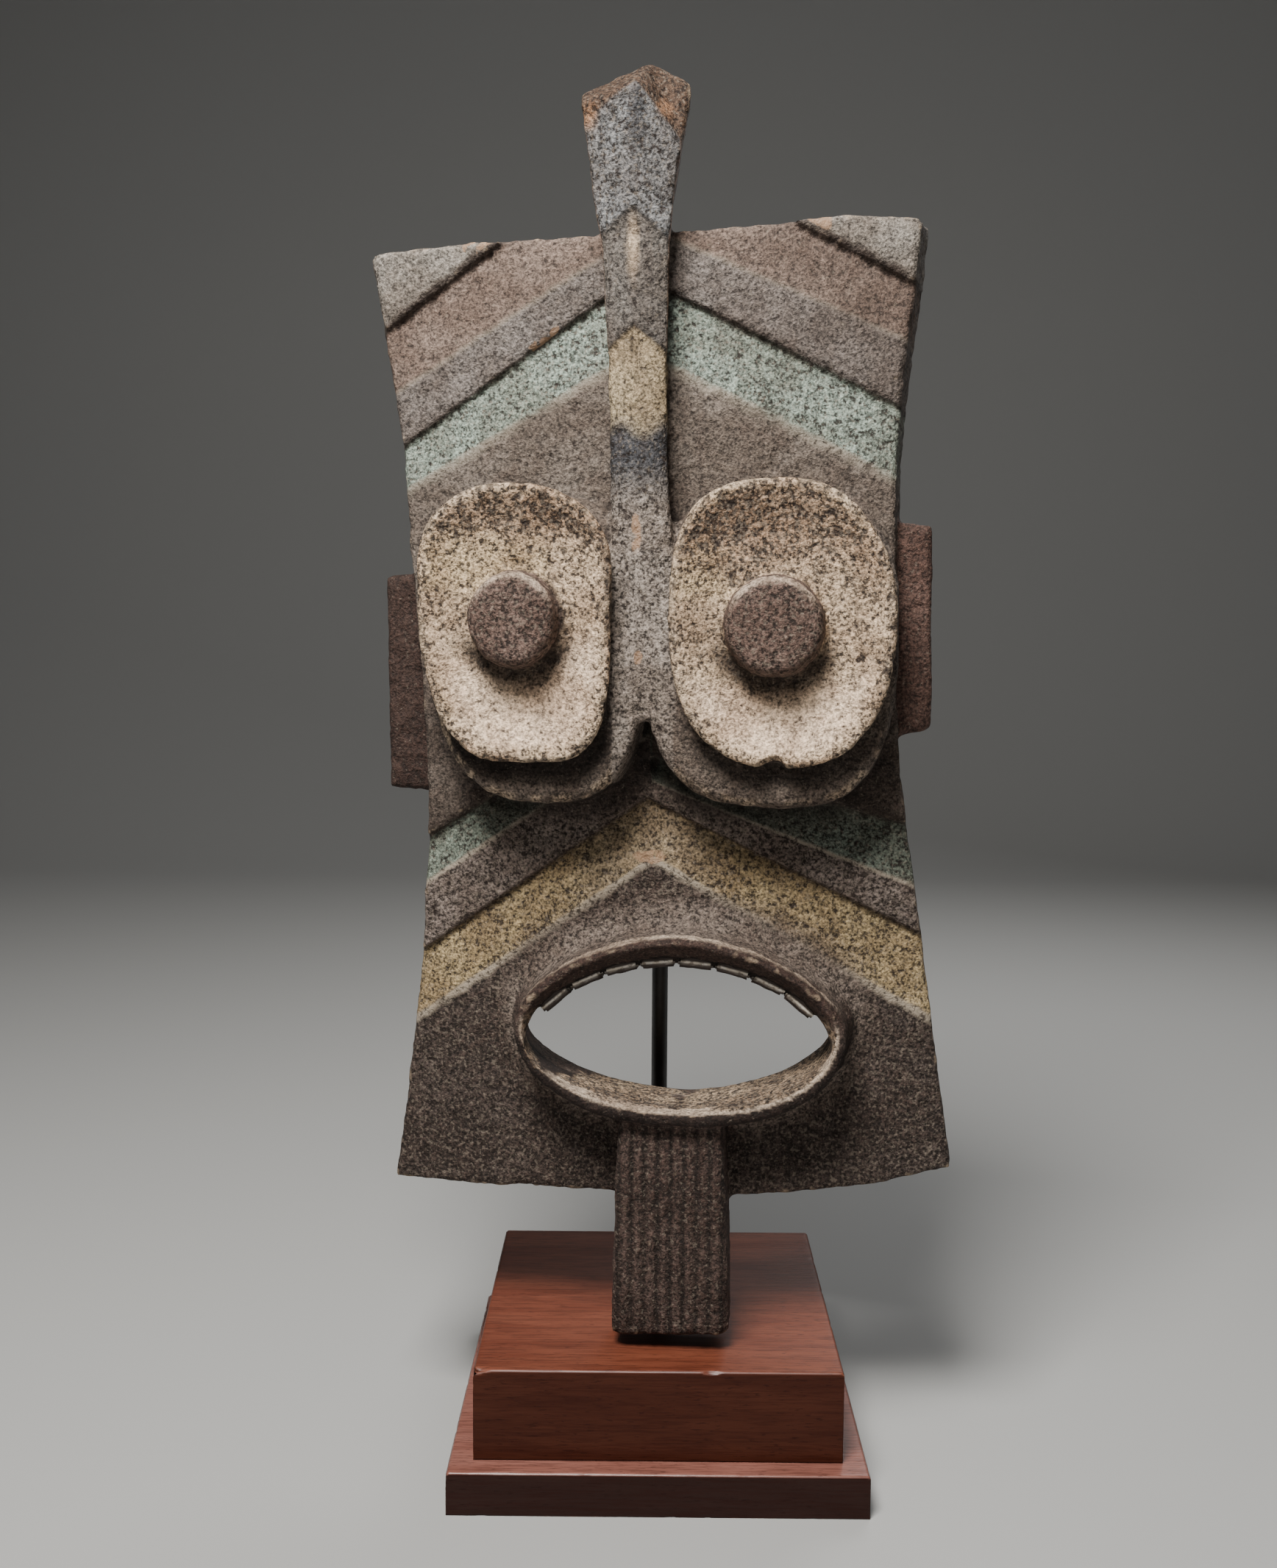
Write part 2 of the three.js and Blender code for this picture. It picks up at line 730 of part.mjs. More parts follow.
// As loft, for a bent round bar, whose convex ends are closed by a fan whichever way they face.
function loftEnds(rings) {
  const count = rings[0].length;
  const index = sideFaces(rings);
  const last = (rings.length - 1) * count;
  for (let i = 1; i + 1 < count; i += 1) {
    index.push(i + 1, i, 0);
    index.push(last, last + i, last + i + 1);
  }
  return solidFrom(positionsOf(rings), index);
}

function mask() {
  const bore = loftEnds(roundBar([
    at(0, -boardWall + rodGripDepth, gripHeight),
    at(0, cutBack, gripHeight),
  ], rodDiameter / 2 + fitGap));
  return board()
    .add(bar())
    .add(eyes())
    .add(mouthRing())
    .add(chin())
    .add(ear(leftEar))
    .add(ear(rightEar))
    .subtract(mouthOpening())
    .add(teeth())
    .subtract(bore);
}

// The block and the plinth, with their edges broken.
function squareBlock(side, height, underside) {
  const ringAt = (inset, z) => {
    const half = side / 2 - inset;
    return [[-half, -half], [half, -half], [half, half], [-half, half]]
      .map(([x, y]) => new THREE.Vector3(x, y, underside + z));
  };
  return loft([
    ringAt(0, 0),
    ringAt(0, height - edgeBreak),
    ringAt(edgeBreak, height),
  ], 'z');
}

const blockTop = plinthHeight + blockHeight;
const socketFloor = blockTop - rodSocketDepth;
const chinHeight = blockTop + chinClearance;

const socket = loftEnds(roundBar([
  new THREE.Vector3(0, 0, socketFloor),
  new THREE.Vector3(0, 0, blockTop + cutPast),
], rodDiameter / 2 + fitGap));

const turned = new THREE.Group();
turned.rotation.z = THREE.MathUtils.degToRad(maskTurn);
const maskMesh = meshOf(mask(), 'mask', paint.mask);
maskMesh.position.z = chinHeight;
turned.add(maskMesh);
turned.add(meshOf(rod(socketFloor + fitGap, chinHeight + gripHeight), 'stand_rod', paint.rod));

const stand = new THREE.Group();
stand.add(meshOf(squareBlock(blockSide, blockHeight, plinthHeight).subtract(socket), 'upper_block', paint.block));
stand.add(meshOf(squareBlock(plinthSide, plinthHeight, 0), 'lower_plinth', paint.plinth));

const model = new THREE.Group();
model.add(turned, stand);

export default model;
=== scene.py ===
from math import cos, pi, radians, sin

import bmesh
import bpy
import numpy as np
from mathutils import Matrix, Vector


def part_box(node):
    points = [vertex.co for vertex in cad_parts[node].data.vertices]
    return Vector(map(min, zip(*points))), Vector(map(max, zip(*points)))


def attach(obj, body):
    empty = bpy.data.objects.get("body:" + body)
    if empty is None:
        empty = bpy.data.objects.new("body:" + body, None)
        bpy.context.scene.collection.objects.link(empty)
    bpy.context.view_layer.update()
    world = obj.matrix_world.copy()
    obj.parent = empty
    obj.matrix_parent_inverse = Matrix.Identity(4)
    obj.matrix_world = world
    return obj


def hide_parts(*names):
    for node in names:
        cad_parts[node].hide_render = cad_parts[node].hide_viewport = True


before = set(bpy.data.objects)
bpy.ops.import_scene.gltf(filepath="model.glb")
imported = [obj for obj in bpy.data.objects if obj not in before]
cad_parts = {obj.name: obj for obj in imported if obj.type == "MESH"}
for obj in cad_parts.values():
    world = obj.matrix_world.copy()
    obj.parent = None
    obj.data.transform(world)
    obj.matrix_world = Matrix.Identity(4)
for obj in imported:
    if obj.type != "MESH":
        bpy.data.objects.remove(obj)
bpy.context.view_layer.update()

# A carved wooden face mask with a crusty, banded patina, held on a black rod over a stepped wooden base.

# The mask's own frame, in millimetres: x across, z up from the chin, depth forward from the board's crown.
MASK_TURN = radians(-5.5)
BOARD_STAND_OFF = 36
CHIN_HEIGHT = 61
BOARD_BOW = 9
BOARD_HALF = 115

# The carving's lines, as on the solid: a height over the axis, and its fall to the left and to the right.
BROW_AXIS = -6
BROW_LINES = [
    ([488.8, 485.1], [0.675, 0.496]),
    ([450.9, 452.9], [0.591, 0.418]),
    ([436.5, 433.2], [0.678, 0.487]),
    ([405.3, 404], [0.555, 0.486]),
]
CHEEK_AXIS = -1.5
CHEEK_LINES = [
    ([264.7, 240.3], [0.634, 0.257]),
    ([249.8, 230.1], [0.676, 0.392]),
    ([223.6, 222.2], [0.696, 0.49]),
    ([197.4, 199.2], [0.707, 0.575]),
]
BAND_VALUES = [0, 1, 2, 3, 4, 6, 7, 8, 9, 10]
BAND_MARGIN = 60
BAND_COUNT = 10
OCHRE_BAND = 8
CRUSTY_BAND = 7
LAST_BAND = 9
SPECKLED_BANDS = (3, 6, 8)

# The nose bar: height, left side and right side, then its foot and the reach of its paint past its sides.
BAR_SIDES = np.array([
    [256, -13, 8], [300, -14.8, 9.5], [335, -16.5, 8], [360, -17.2, 5.7], [402, -18, 5.3],
    [428, -19.6, 5.3], [446, -20.9, 5.6], [459, -23.3, 6.9], [480, -25.6, 10.2], [499, -28.8, 14.3],
    [512, -30.2, 16], [522, -31.2, 17.4],
])
BAR_FOOT = 225
BAR_MARGIN = 2

# Chevron lines on the bar: middle x, height there, and the fall to the left and to the right.
LOWER_VEE = (-7.6, 410.9, 0.81, 0.77)
UPPER_VEE = (-7.9, 455.8, 0.735, 0.85)
CREST_BROW = (-6.6, 501, 0.72, 1.2)

# Ovals: middle x and z, reach left, right, up and down, and the powers of the four quarters.
LEFT_DISC = (-53.4, 314.4, 38.1, 39.3, 34.7, 75, (2.36, 2.21, 2.53, 4.56))
RIGHT_DISC = (52.7, 295.7, 44.8, 43.5, 55.1, 57.3, (3.02, 2.17, 2.42, 2.4))
LEFT_TIER = (-46, 300, 45, 43.7, 46, 77.6, (2.5, 2.5, 2.5, 3.3))
RIGHT_TIER = (52, 300, 55, 45.5, 48, 78, (2.5, 2.5, 3.1, 3))
LEFT_PUPIL = (-52.4, 295.9, 16.9, 16.9, 18.2, 18.2, (2, 2, 2, 2))
LEFT_PUPIL_CUT = (-50.2, 295.9, 17.7, 17.7, 18.4, 18.4, (2, 2, 2, 2))
RIGHT_PUPIL = (49, 293.8, 18.6, 18.6, 18.9, 18.9, (2, 2, 2, 2))
RING = (12.5, 131.2, 67.7, 67.8, 37.8, 40.9, (1.78, 1.68, 2.14, 2.22))
SLOT = (12.2, 123.5, 63.4, 62.4, 36.5, 27, (1.9, 1.86, 1.75, 1.7))
EYES = ((LEFT_TIER, LEFT_DISC, LEFT_PUPIL), (RIGHT_TIER, RIGHT_DISC, RIGHT_PUPIL))

# Widths of the lip at the top, the sides and the foot of the mouth, and the heights that hold the mouth.
LIP_WIDTHS = (2.6, 3.6, 6.6)
MOUTH_HEIGHTS = (60, 200)

# The chin and the ears, told apart from the board by their place.
CHIN_TOP = 92
CHIN_SIDES = (-15.5, 35)
CHIN_FLUTES = 8
CHIN_RIM = 3.8
EAR_HEIGHTS = (220, 340)
EAR_FROM = 98
EAR_DEPTH = -4.5

# Depths past which a point is on a disc, on its face, on a pupil's wall and on a pupil's face.
DISC_DEPTH = 27
DISC_FACE_DEPTH = 29
PUPIL_FOOT = 32.5
PUPIL_FACE = 36

# Small marks: middle x and z, then the reach across and up.
# The spot of painted highlight down the crown of the bar, under its upper chevron.
CROWN_HIGHLIGHT = (-8, 441, 3.2, 17)
# The darker patch down the middle of the crest head.
CREST_DARK_PATCH = (-6, 489, 6, 22)
BAR_SPLIT = (-7.9, 404, 0.9, 14)
ROOF_SCARS = ((-25, 489, 5, 7), (4, 493, 4.5, 6.5), (13.5, 487, 4, 6))
# The spot of painted shade in the deep corner between the eyes.
CORNER_SHADE_SPOT = (-3, 239, 15, 17)
BARE_SPOTS = ((-6, 330, 3.5, 13), (-4.5, 281, 3, 5), (-1.5, 198.5, 11, 5))
RIM_CHIP = (49, 239, 6.5, 6)

# The way back from the chipped rim to the uncut one: across, up and forward.
RIM_CHIP_BACK = (-1.2, -2.6, 2.2)

# Bare wood along the carved lines: middle x, place among the bands, and reach.
BARE_STRIPS = ((-70, 0.88, 15), (-47, 2.93, 10), (64, 0.88, 7))

# The crack in the bar.
CRACK_X = -5.9
CRACK_HEIGHTS = (383, 408)
CRACK_DEPTH = 0.9

# The teeth: how many, degrees around the slot, sizes in millimetres, and the painted highlight along each
# one.
TOOTH_COUNT = 8
TOOTH_FROM = 156
TOOTH_TO = 25
TOOTH_GAP = 1.3
TOOTH_DROP = 3.2
TOOTH_ROOT = 2.4
TOOTH_FRONT = 16.2
TOOTH_THICKNESS = 6
TOOTH_EXTRA = 1.6
TOOTH_HEIGHT_EXTRA = 1.4
TOOTH_EDGE = 0.9
TOOTH_CUTS = 6
ARC_STEPS = 400
TOOTH_HIGHLIGHT = 0.3
TOOTH_HIGHLIGHT_SOFT = 0.45
TOOTH_HIGHLIGHT_HEIGHT = -1.6

# The rod, in metres.
ROD_RADIUS = 0.0035
ROD_BEND = 0.014
ROD_FORWARD = 0.0387
ROD_SIDES = 28
ROD_BEND_STEPS = 14
ROD_END_BEVEL = 0.0004

# Detail: voxels in metres, triangles kept, and insets in millimetres that hold a piece inside its box.
MASK_VOXEL = 0.0012
MASK_TRIANGLES = 262000
BASE_VOXEL = 0.001
BASE_TRIANGLES = 70000
BASE_INSET = 0.12
BOX_INSET = 0.03

# The chip along the front edge of the block, in millimetres from its left corner.
EDGE_CHIP_X = 96

# The camera, from the ten corners of block and plinth. Its focal length is in pixels of the frame.
FRAME_HEIGHT = 2132
SENSOR = 36
FOCAL_PIXELS = 2120
CAMERA_PLACE = (-0.0064, -0.678, 0.350)
CAMERA_YAW = radians(-0.31)
CAMERA_PITCH = radians(5.35)
CAMERA_ROLL = radians(0.38)


def linear(red, green, blue):
    """A colour given as 0 to 255, as the eye sees it, turned to linear light."""
    return tuple((part / 255) ** 2.2 for part in (red, green, blue))


# Camera, light and floor.

def add_camera():
    ahead = Vector((
        sin(CAMERA_YAW) * cos(CAMERA_PITCH),
        cos(CAMERA_YAW) * cos(CAMERA_PITCH),
        -sin(CAMERA_PITCH),
    ))
    level = Vector((cos(CAMERA_YAW), -sin(CAMERA_YAW), 0))
    upright = level.cross(ahead)
    right = cos(CAMERA_ROLL) * level + sin(CAMERA_ROLL) * upright
    up = -sin(CAMERA_ROLL) * level + cos(CAMERA_ROLL) * upright
    data = bpy.data.cameras.new("camera")
    data.sensor_width = SENSOR
    data.lens = SENSOR * FOCAL_PIXELS / FRAME_HEIGHT
    data.clip_start = 0.05
    camera = bpy.data.objects.new("camera", data)
    turn = Matrix((right, up, -ahead)).transposed().to_4x4()
    camera.matrix_world = Matrix.Translation(CAMERA_PLACE) @ turn
    bpy.context.scene.collection.objects.link(camera)
    bpy.context.scene.camera = camera


# The lamps: name, place, size, power and colour.
LAMP_TARGET = (0, -0.04, 0.3)
LAMPS = (
    ("key", (-0.2, -0.6, 1.1), (0.36, 0.36), 22.5, (1, 0.975, 0.94)),
    ("front_fill", (0.1, -1.6, 0.75), (1.2, 0.8), 0.6, (0.97, 0.98, 1)),
    ("back_rim", (0.5, 0.9, 1.1), (0.7, 0.7), 6, (1, 1, 1)),
)
WORLD_COLOUR = (0.62, 0.63, 0.65, 1)
WORLD_STRENGTH = 0.09


def add_area_light(name, place, size, power, colour):
    data = bpy.data.lights.new(name, "AREA")
    data.shape = "RECTANGLE"
    data.size, data.size_y = size
    data.energy = power
    data.color = colour
    light = bpy.data.objects.new(name, data)
    aim = Vector(LAMP_TARGET) - Vector(place)
    light.rotation_euler = aim.to_track_quat("-Z", "Y").to_euler()
    light.location = place
    bpy.context.scene.collection.objects.link(light)


def add_lights():
    for lamp in LAMPS:
        add_area_light(*lamp)
    world = bpy.data.worlds.new("studio")
    bpy.context.scene.world = world
    world.use_nodes = True
    background = world.node_tree.nodes["Background"]
    background.inputs["Color"].default_value = WORLD_COLOUR
    background.inputs["Strength"].default_value = WORLD_STRENGTH


def add_floor():
    """A pale floor that rises in a wide curve into a backdrop."""
    half_width = 4
    front, bend_from, radius, top = -3, 1.6, 1.0, 3.2
    profile = [(front, 0), (bend_from, 0)]
    steps = 16
    for i in range(1, steps + 1):
        angle = pi / 2 * i / steps
        profile.append((bend_from + radius * sin(angle), radius * (1 - cos(angle))))
    profile.append((bend_from + radius, top))
    mesh = bpy.data.meshes.new("floor")
    corners = [(side * half_width, y, z) for y, z in profile for side in (-1, 1)]
    faces = [(2 * i, 2 * i + 1, 2 * i + 3, 2 * i + 2) for i in range(len(profile) - 1)]
    mesh.from_pydata(corners, [], faces)
    mesh.shade_smooth()
    floor = bpy.data.objects.new("floor", mesh)
    bpy.context.scene.collection.objects.link(floor)
    material, shader, _ = new_material("pale_floor", 0.75)
    shader.inputs["Base Color"].default_value = (*linear(176, 176, 174), 1)
    mesh.materials.append(material)


# Noise and mesh helpers.

class Noise:
    """Smooth noise between -1 and 1 on a seeded lattice that repeats."""

    def __init__(self, seed, size=40):
        self.size = size
        self.cells = np.random.default_rng(seed).random((size, size, size)) * 2 - 1

    def __call__(self, points, period):
        cell = points / period
        base = np.floor(cell).astype(int)
        part = cell - base
        part = part * part * (3 - 2 * part)
        total = np.zeros(len(points))
        for corner in np.ndindex(2, 2, 2):
            weight = np.ones(len(points))
            for axis in range(3):
                weight *= part[:, axis] if corner[axis] else 1 - part[:, axis]
            x, y, z = ((base[:, axis] + corner[axis]) % self.size for axis in range(3))
            total += weight * self.cells[x, y, z]
        return total


def smoothstep(low, high, value):
    """Nothing at low, one at high and smooth between. It falls where low is the larger."""
    t = np.clip((value - low) / (high - low), 0, 1)
    return t * t * (3 - 2 * t)


def read_vertices(mesh):
    places = np.empty(len(mesh.vertices) * 3)
    mesh.vertices.foreach_get("co", places)
    return places.reshape(-1, 3)


def read_normals(mesh):
    normals = np.empty(len(mesh.vertices) * 3, dtype=np.float32)
    mesh.vertex_normals.foreach_get("vector", normals)
    return normals.reshape(-1, 3).astype(float)


def write_vertices(mesh, places):
    mesh.vertices.foreach_set("co", places.ravel().astype(np.float32))
    mesh.update()


def read_edges(mesh):
    edges = np.empty(len(mesh.edges) * 2, dtype=np.int64)
    mesh.edges.foreach_get("vertices", edges)
    return edges.reshape(-1, 2)


def spread(values, edges, rounds, share=0.5):
    """Each point's values drawn towards the mean of its neighbours, a number of times."""
    count = len(values)
    a, b = edges[:, 0], edges[:, 1]
    near = np.maximum(np.bincount(a, minlength=count) + np.bincount(b, minlength=count), 1)
    result = values.reshape(count, -1).copy()
    for _ in range(rounds):
        for column in range(result.shape[1]):
            field = result[:, column]
            total = np.bincount(a, field[b], count) + np.bincount(b, field[a], count)
            result[:, column] = field + share * (total / near - field)
    return result.reshape(values.shape)


def stand_out(places, edges, normals, rounds):
    """How far each point stands out of its surroundings, in millimetres."""
    return np.einsum("ij,ij->i", places - spread(places, edges, rounds), normals) * 1000


def apply_modifiers(piece):
    graph = bpy.context.evaluated_depsgraph_get()
    mesh = bpy.data.meshes.new_from_object(piece.evaluated_get(graph))
    piece.modifiers.clear()
    piece.data = mesh


def remeshed(node, name, voxel):
    """A new piece with a node's form, in small even faces."""
    piece = bpy.data.objects.new(name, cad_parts[node].data.copy())
    bpy.context.scene.collection.objects.link(piece)
    modifier = piece.modifiers.new("voxels", "REMESH")
    modifier.mode = "VOXEL"
    modifier.voxel_size = voxel
    apply_modifiers(piece)
    return piece


def thin_out(piece, triangles):
    """Fewer faces, kept where the form needs them."""
    count = 2 * len(piece.data.polygons)
    if count <= triangles:
        return
    modifier = piece.modifiers.new("fewer", "DECIMATE")
    modifier.ratio = triangles / count
    apply_modifiers(piece)


def piece_from(name, vertices, faces):
    mesh = bpy.data.meshes.new(name)
    mesh.from_pydata(vertices, [], faces)
    mesh.validate()
    piece = bpy.data.objects.new(name, mesh)
    bpy.context.scene.collection.objects.link(piece)
    return piece


def dress(piece, node, material):
    """The material of a piece, its body, and the node that it stands for."""
    piece.data.materials.clear()
    piece.data.materials.append(material)
    piece.data.shade_smooth()
    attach(piece, "root")
    if node:
        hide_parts(node)


# The mask's own frame.

def to_mask(places):
    """World metres to the mask's x, z and depth in millimetres."""
    x, y, z = places.T * 1000
    across = x * cos(MASK_TURN) + y * sin(MASK_TURN)
    behind = -x * sin(MASK_TURN) + y * cos(MASK_TURN)
    return across, z - CHIN_HEIGHT, -behind - BOARD_STAND_OFF


def to_world(across, height, depth):
    """A point in the mask's own frame, in millimetres, to world metres."""
    behind = -depth - BOARD_STAND_OFF
    x = across * cos(MASK_TURN) - behind * sin(MASK_TURN)
    y = across * sin(MASK_TURN) + behind * cos(MASK_TURN)
    return Vector((x, y, height + CHIN_HEIGHT)) / 1000


def facing_of(normals):
    """One where the surface looks straight ahead of the mask, and minus one on its back."""
    return normals[:, 0] * sin(MASK_TURN) - normals[:, 1] * cos(MASK_TURN)


def board_front(across):
    """The depth of the bowed front of the board."""
    return -BOARD_BOW * (across / BOARD_HALF) ** 2


def line_height(line, axis, across):
    apex, fall = line
    left = across < axis
    out = np.abs(across - axis)
    return np.where(left, apex[0] - out * fall[0], apex[1] - out * fall[1])


def band_of(across, height):
    """Where a point is among the carved bands, counted from the top edge down to the mouth."""
    lines = [line_height(line, BROW_AXIS, across) for line in BROW_LINES]
    lines += [line_height(line, CHEEK_AXIS, across) for line in CHEEK_LINES]
    lines = [lines[0] + BAND_MARGIN, *lines, lines[-1] - BAND_MARGIN]
    band = np.zeros(len(across))
    for k in range(len(lines) - 1):
        step = BAND_VALUES[k + 1] - BAND_VALUES[k]
        band += step * np.clip((lines[k] - height) / (lines[k] - lines[k + 1]), 0, 1)
    return band


def inside(oval, across, height):
    """Roughly how many millimetres a point lies inside an oval, negative outside."""
    x, z, left, right, up, down, powers = oval
    reach_x = np.where(across < x, left, right)
    reach_z = np.where(height < z, down, up)
    power = np.choose(2 * (height < z) + (across >= x), powers)
    dx = np.abs(across - x) / reach_x
    dz = np.abs(height - z) / reach_z
    radius = (dx ** power + dz ** power) ** (1 / power)
    slope = np.sqrt((dx / reach_x) ** 2 + (dz / reach_z) ** 2) / np.maximum(np.hypot(dx, dz), 1e-6)
    return (1 - radius) / np.maximum(slope, 1e-4)


def vee_height(vee, across):
    x, apex, fall_left, fall_right = vee
    return apex - np.where(across < x, (x - across) * fall_left, (across - x) * fall_right)


def near(across, height, x, z, reach_x, reach_z):
    """One at a spot, falling to nothing at its reach."""
    return smoothstep(1, 0.2, np.hypot((across - x) / reach_x, (height - z) / reach_z))


# The carved surface.

class Surface:
    """What is known of each point of the carved mesh, in the mask's own frame."""

    def __init__(self, mesh, places):
        self.places = places
        self.points = places * 1000
        self.edges = read_edges(mesh)
        self.normals = read_normals(mesh)
        self.facing = facing_of(self.normals)
        self.across, self.height, self.depth = to_mask(places)
        self.above_board = self.depth - board_front(self.across)
        self.band = band_of(self.across, self.height)

    def inside(self, oval):
        return inside(oval, self.across, self.height)

    def near(self, spot):
        return near(self.across, self.height, *spot)

    def over(self, vee):
        """How far above a chevron line each point is."""
        return self.height - vee_height(vee, self.across)

    def exposure(self, rounds):
        return stand_out(self.places, self.edges, self.normals, rounds)


def settle_left_pupil(places):
    """The left pupil a little smaller and further left than it is cut on the solid."""
    across, height, depth = to_mask(places)
    knob = smoothstep(-6, -1.5, inside(LEFT_PUPIL_CUT, across, height)) * smoothstep(31, 33, depth)
    slide = knob * (LEFT_PUPIL[0] - LEFT_PUPIL_CUT[0] + 0.045 * (LEFT_PUPIL_CUT[0] - across))
    return places + slide[:, None] * np.array(to_world(1, 0, 0) - to_world(0, 0, 0))


def crack_of(s, wander):
    """One along the upright crack in the bar."""
    low, high = CRACK_HEIGHTS
    line = smoothstep(0.9, 0.2, np.abs(s.across - (CRACK_X + wander)))
    line *= smoothstep(low, low + 5, s.height) * smoothstep(high, high - 5, s.height) * (s.facing > 0.2)
    return line


def carve(piece):
    """Soft edges, tool marks, crust, chips and the crack, as real relief."""
    mesh = piece.data
    places = settle_left_pupil(spread(read_vertices(mesh), read_edges(mesh), 2))
    write_vertices(mesh, places)
    s = Surface(mesh, places)
    broad, fine, pits = Noise(11), Noise(23), Noise(37)
    smooth_parts = np.maximum.reduce([
        smoothstep(-2, 3, s.inside(SLOT)) * smoothstep(30, 10, s.depth),
        0.5 * smoothstep(0, 4, s.inside(RING)),
    ])
    rough = smoothstep(-0.3, 0.2, s.facing) * (1 - 0.7 * smooth_parts)
    push = 0.34 * broad(s.points, 15) + 0.2 * broad(s.points + 91, 7)
    push += rough * (0.3 * fine(s.points, 3.3) + 0.2 * fine(s.points + 57, 2.1))
    push -= rough * 0.55 * smoothstep(0.5, 0.85, pits(s.points, 5.5))
    worn = smoothstep(0.12, 0.5, s.exposure(10))
    push -= worn * (0.25 + 0.4 * smoothstep(0.1, 0.7, broad(s.points + 13, 9)))
    push -= 0.8 * smoothstep(0.5, 0.9, pits(s.points + 31, 16)) * worn
    push -= CRACK_DEPTH * crack_of(s, 0.5 * broad(s.points + 7, 6))
    places = places + s.normals * (push / 1000)[:, None]
    chip = s.near(RIM_CHIP) * smoothstep(DISC_DEPTH, DISC_DEPTH + 3, s.depth)
    places += chip[:, None] * np.array(to_world(0, 0, 0) - to_world(*RIM_CHIP_BACK))
    write_vertices(mesh, places)


# The paint on the carving, laid part by part.

# Colours for the parts. dark and under also serve as painted shade and shadow, and pale as painted
# highlights, where the functions below say so.
PAINTS = {
    "wall": linear(74, 62, 55), "dark": linear(28, 22, 19), "under": linear(36, 29, 26),
    "pale": linear(176, 158, 140), "raw": linear(150, 114, 86), "crown_highlight_paint": linear(190, 168, 142),
    "bar_low": linear(122, 113, 105), "bar_mid": linear(94, 89, 84), "bar_ochre": linear(146, 131, 106),
    "nose": linear(58, 58, 60), "crest": linear(106, 106, 106), "roof": linear(78, 63, 52),
    "tier": linear(94, 84, 76), "rim": linear(164, 145, 123), "rim_warm": linear(158, 124, 96),
    "disc_low": linear(212, 186, 160), "disc_mid": linear(170, 148, 124),
    "disc_top": linear(132, 110, 90), "disc_yellow": linear(176, 155, 118), "pupil": linear(90, 74, 67),
    "halo": linear(93, 83, 76), "ring_low": linear(40, 31, 27), "ring_top": linear(60, 47, 42),
    "lip": linear(112, 95, 78), "deep_lip_painted_light": linear(128, 111, 92), "ochre_worn": linear(136, 121, 99),
    "chin": linear(70, 57, 52), "ear": linear(84, 65, 58), "ear_left": linear(58, 45, 40),
    "back": linear(118, 88, 66), "hollow": linear(96, 70, 54),
}


class Coat:
    """Layers of paint: the colour, how far it hides the bands, and how speckled it is."""

    def __init__(self, s):
        count = len(s.places)
        self.points = s.points
        self.noise = Noise(71)
        self.colour = np.tile(PAINTS["wall"], (count, 1))
        self.own = np.zeros(count)
        self.specks = np.full(count, 0.55)

    def lay(self, name, weight, speck=None):
        weight = np.clip(weight, 0.0, 1.0)
        self.colour = self.colour * (1 - weight[:, None]) + np.array(PAINTS[name]) * weight[:, None]
        self.own = np.maximum(self.own, weight)
        if speck is not None:
            self.specks = self.specks * (1 - weight) + speck * weight

    def mottle(self, shift, period):
        return self.noise(self.points + shift, period)


def paint_bar(s, coat):
    """The nose bar and crest. Returns one on them."""
    left, right = (np.interp(s.height, BAR_SIDES[:, 0], BAR_SIDES[:, side]) for side in (1, 2))
    on_bar = (s.across > left - BAR_MARGIN) & (s.across < right + BAR_MARGIN)
    on_bar &= (s.above_board > 1.5) & (s.height > BAR_FOOT)
    bar = on_bar.astype(float)
    over_lower = smoothstep(-1, 1, s.over(LOWER_VEE))
    over_upper = smoothstep(-1, 1, s.over(UPPER_VEE))
    coat.lay("bar_low", bar, 0.9)
    coat.lay("nose", bar * smoothstep(385, 368, s.height) * smoothstep(335, 360, s.height), 0.9)
    ochre = smoothstep(366, 378, s.height + 7 * coat.mottle(0, 9)) * (1 - over_lower)
    coat.lay("bar_ochre", bar * ochre, 0.65)
    coat.lay("bar_mid", bar * over_lower, 0.75)
    coat.lay("crest", bar * over_upper, 0.9)
    # Painted highlight: a pale streak down the crown of the bar, under the upper chevron.
    coat.lay("crown_highlight_paint", 0.85 * bar * s.near(CROWN_HIGHLIGHT) * (1 - over_upper), 0.15)
    # A darker patch down the middle of the crest head.
    coat.lay("nose", 0.85 * bar * s.near(CREST_DARK_PATCH), 1.0)
    # Painted shadow: a dark line at each chevron step, under the segment that stands proud.
    for vee in (LOWER_VEE, UPPER_VEE):
        coat.lay("dark", 0.6 * bar * smoothstep(1.3, 0.4, np.abs(s.over(vee))), 0.6)
    split = near(s.across + 0.6 * coat.mottle(0, 5), s.height, *BAR_SPLIT)
    coat.lay("dark", 0.7 * bar * split, 0.6)
    bar_wall = bar * smoothstep(0.45, 0.2, s.facing)
    coat.lay("raw", 0.5 * bar_wall * smoothstep(380, 420, s.height), 0.4)
    coat.lay("roof", bar * smoothstep(-0.5, 1, s.over(CREST_BROW)), 0.95)
    for scar in ROOF_SCARS:
        coat.lay("raw", 0.75 * bar * s.near(scar), 0.6)
    return bar


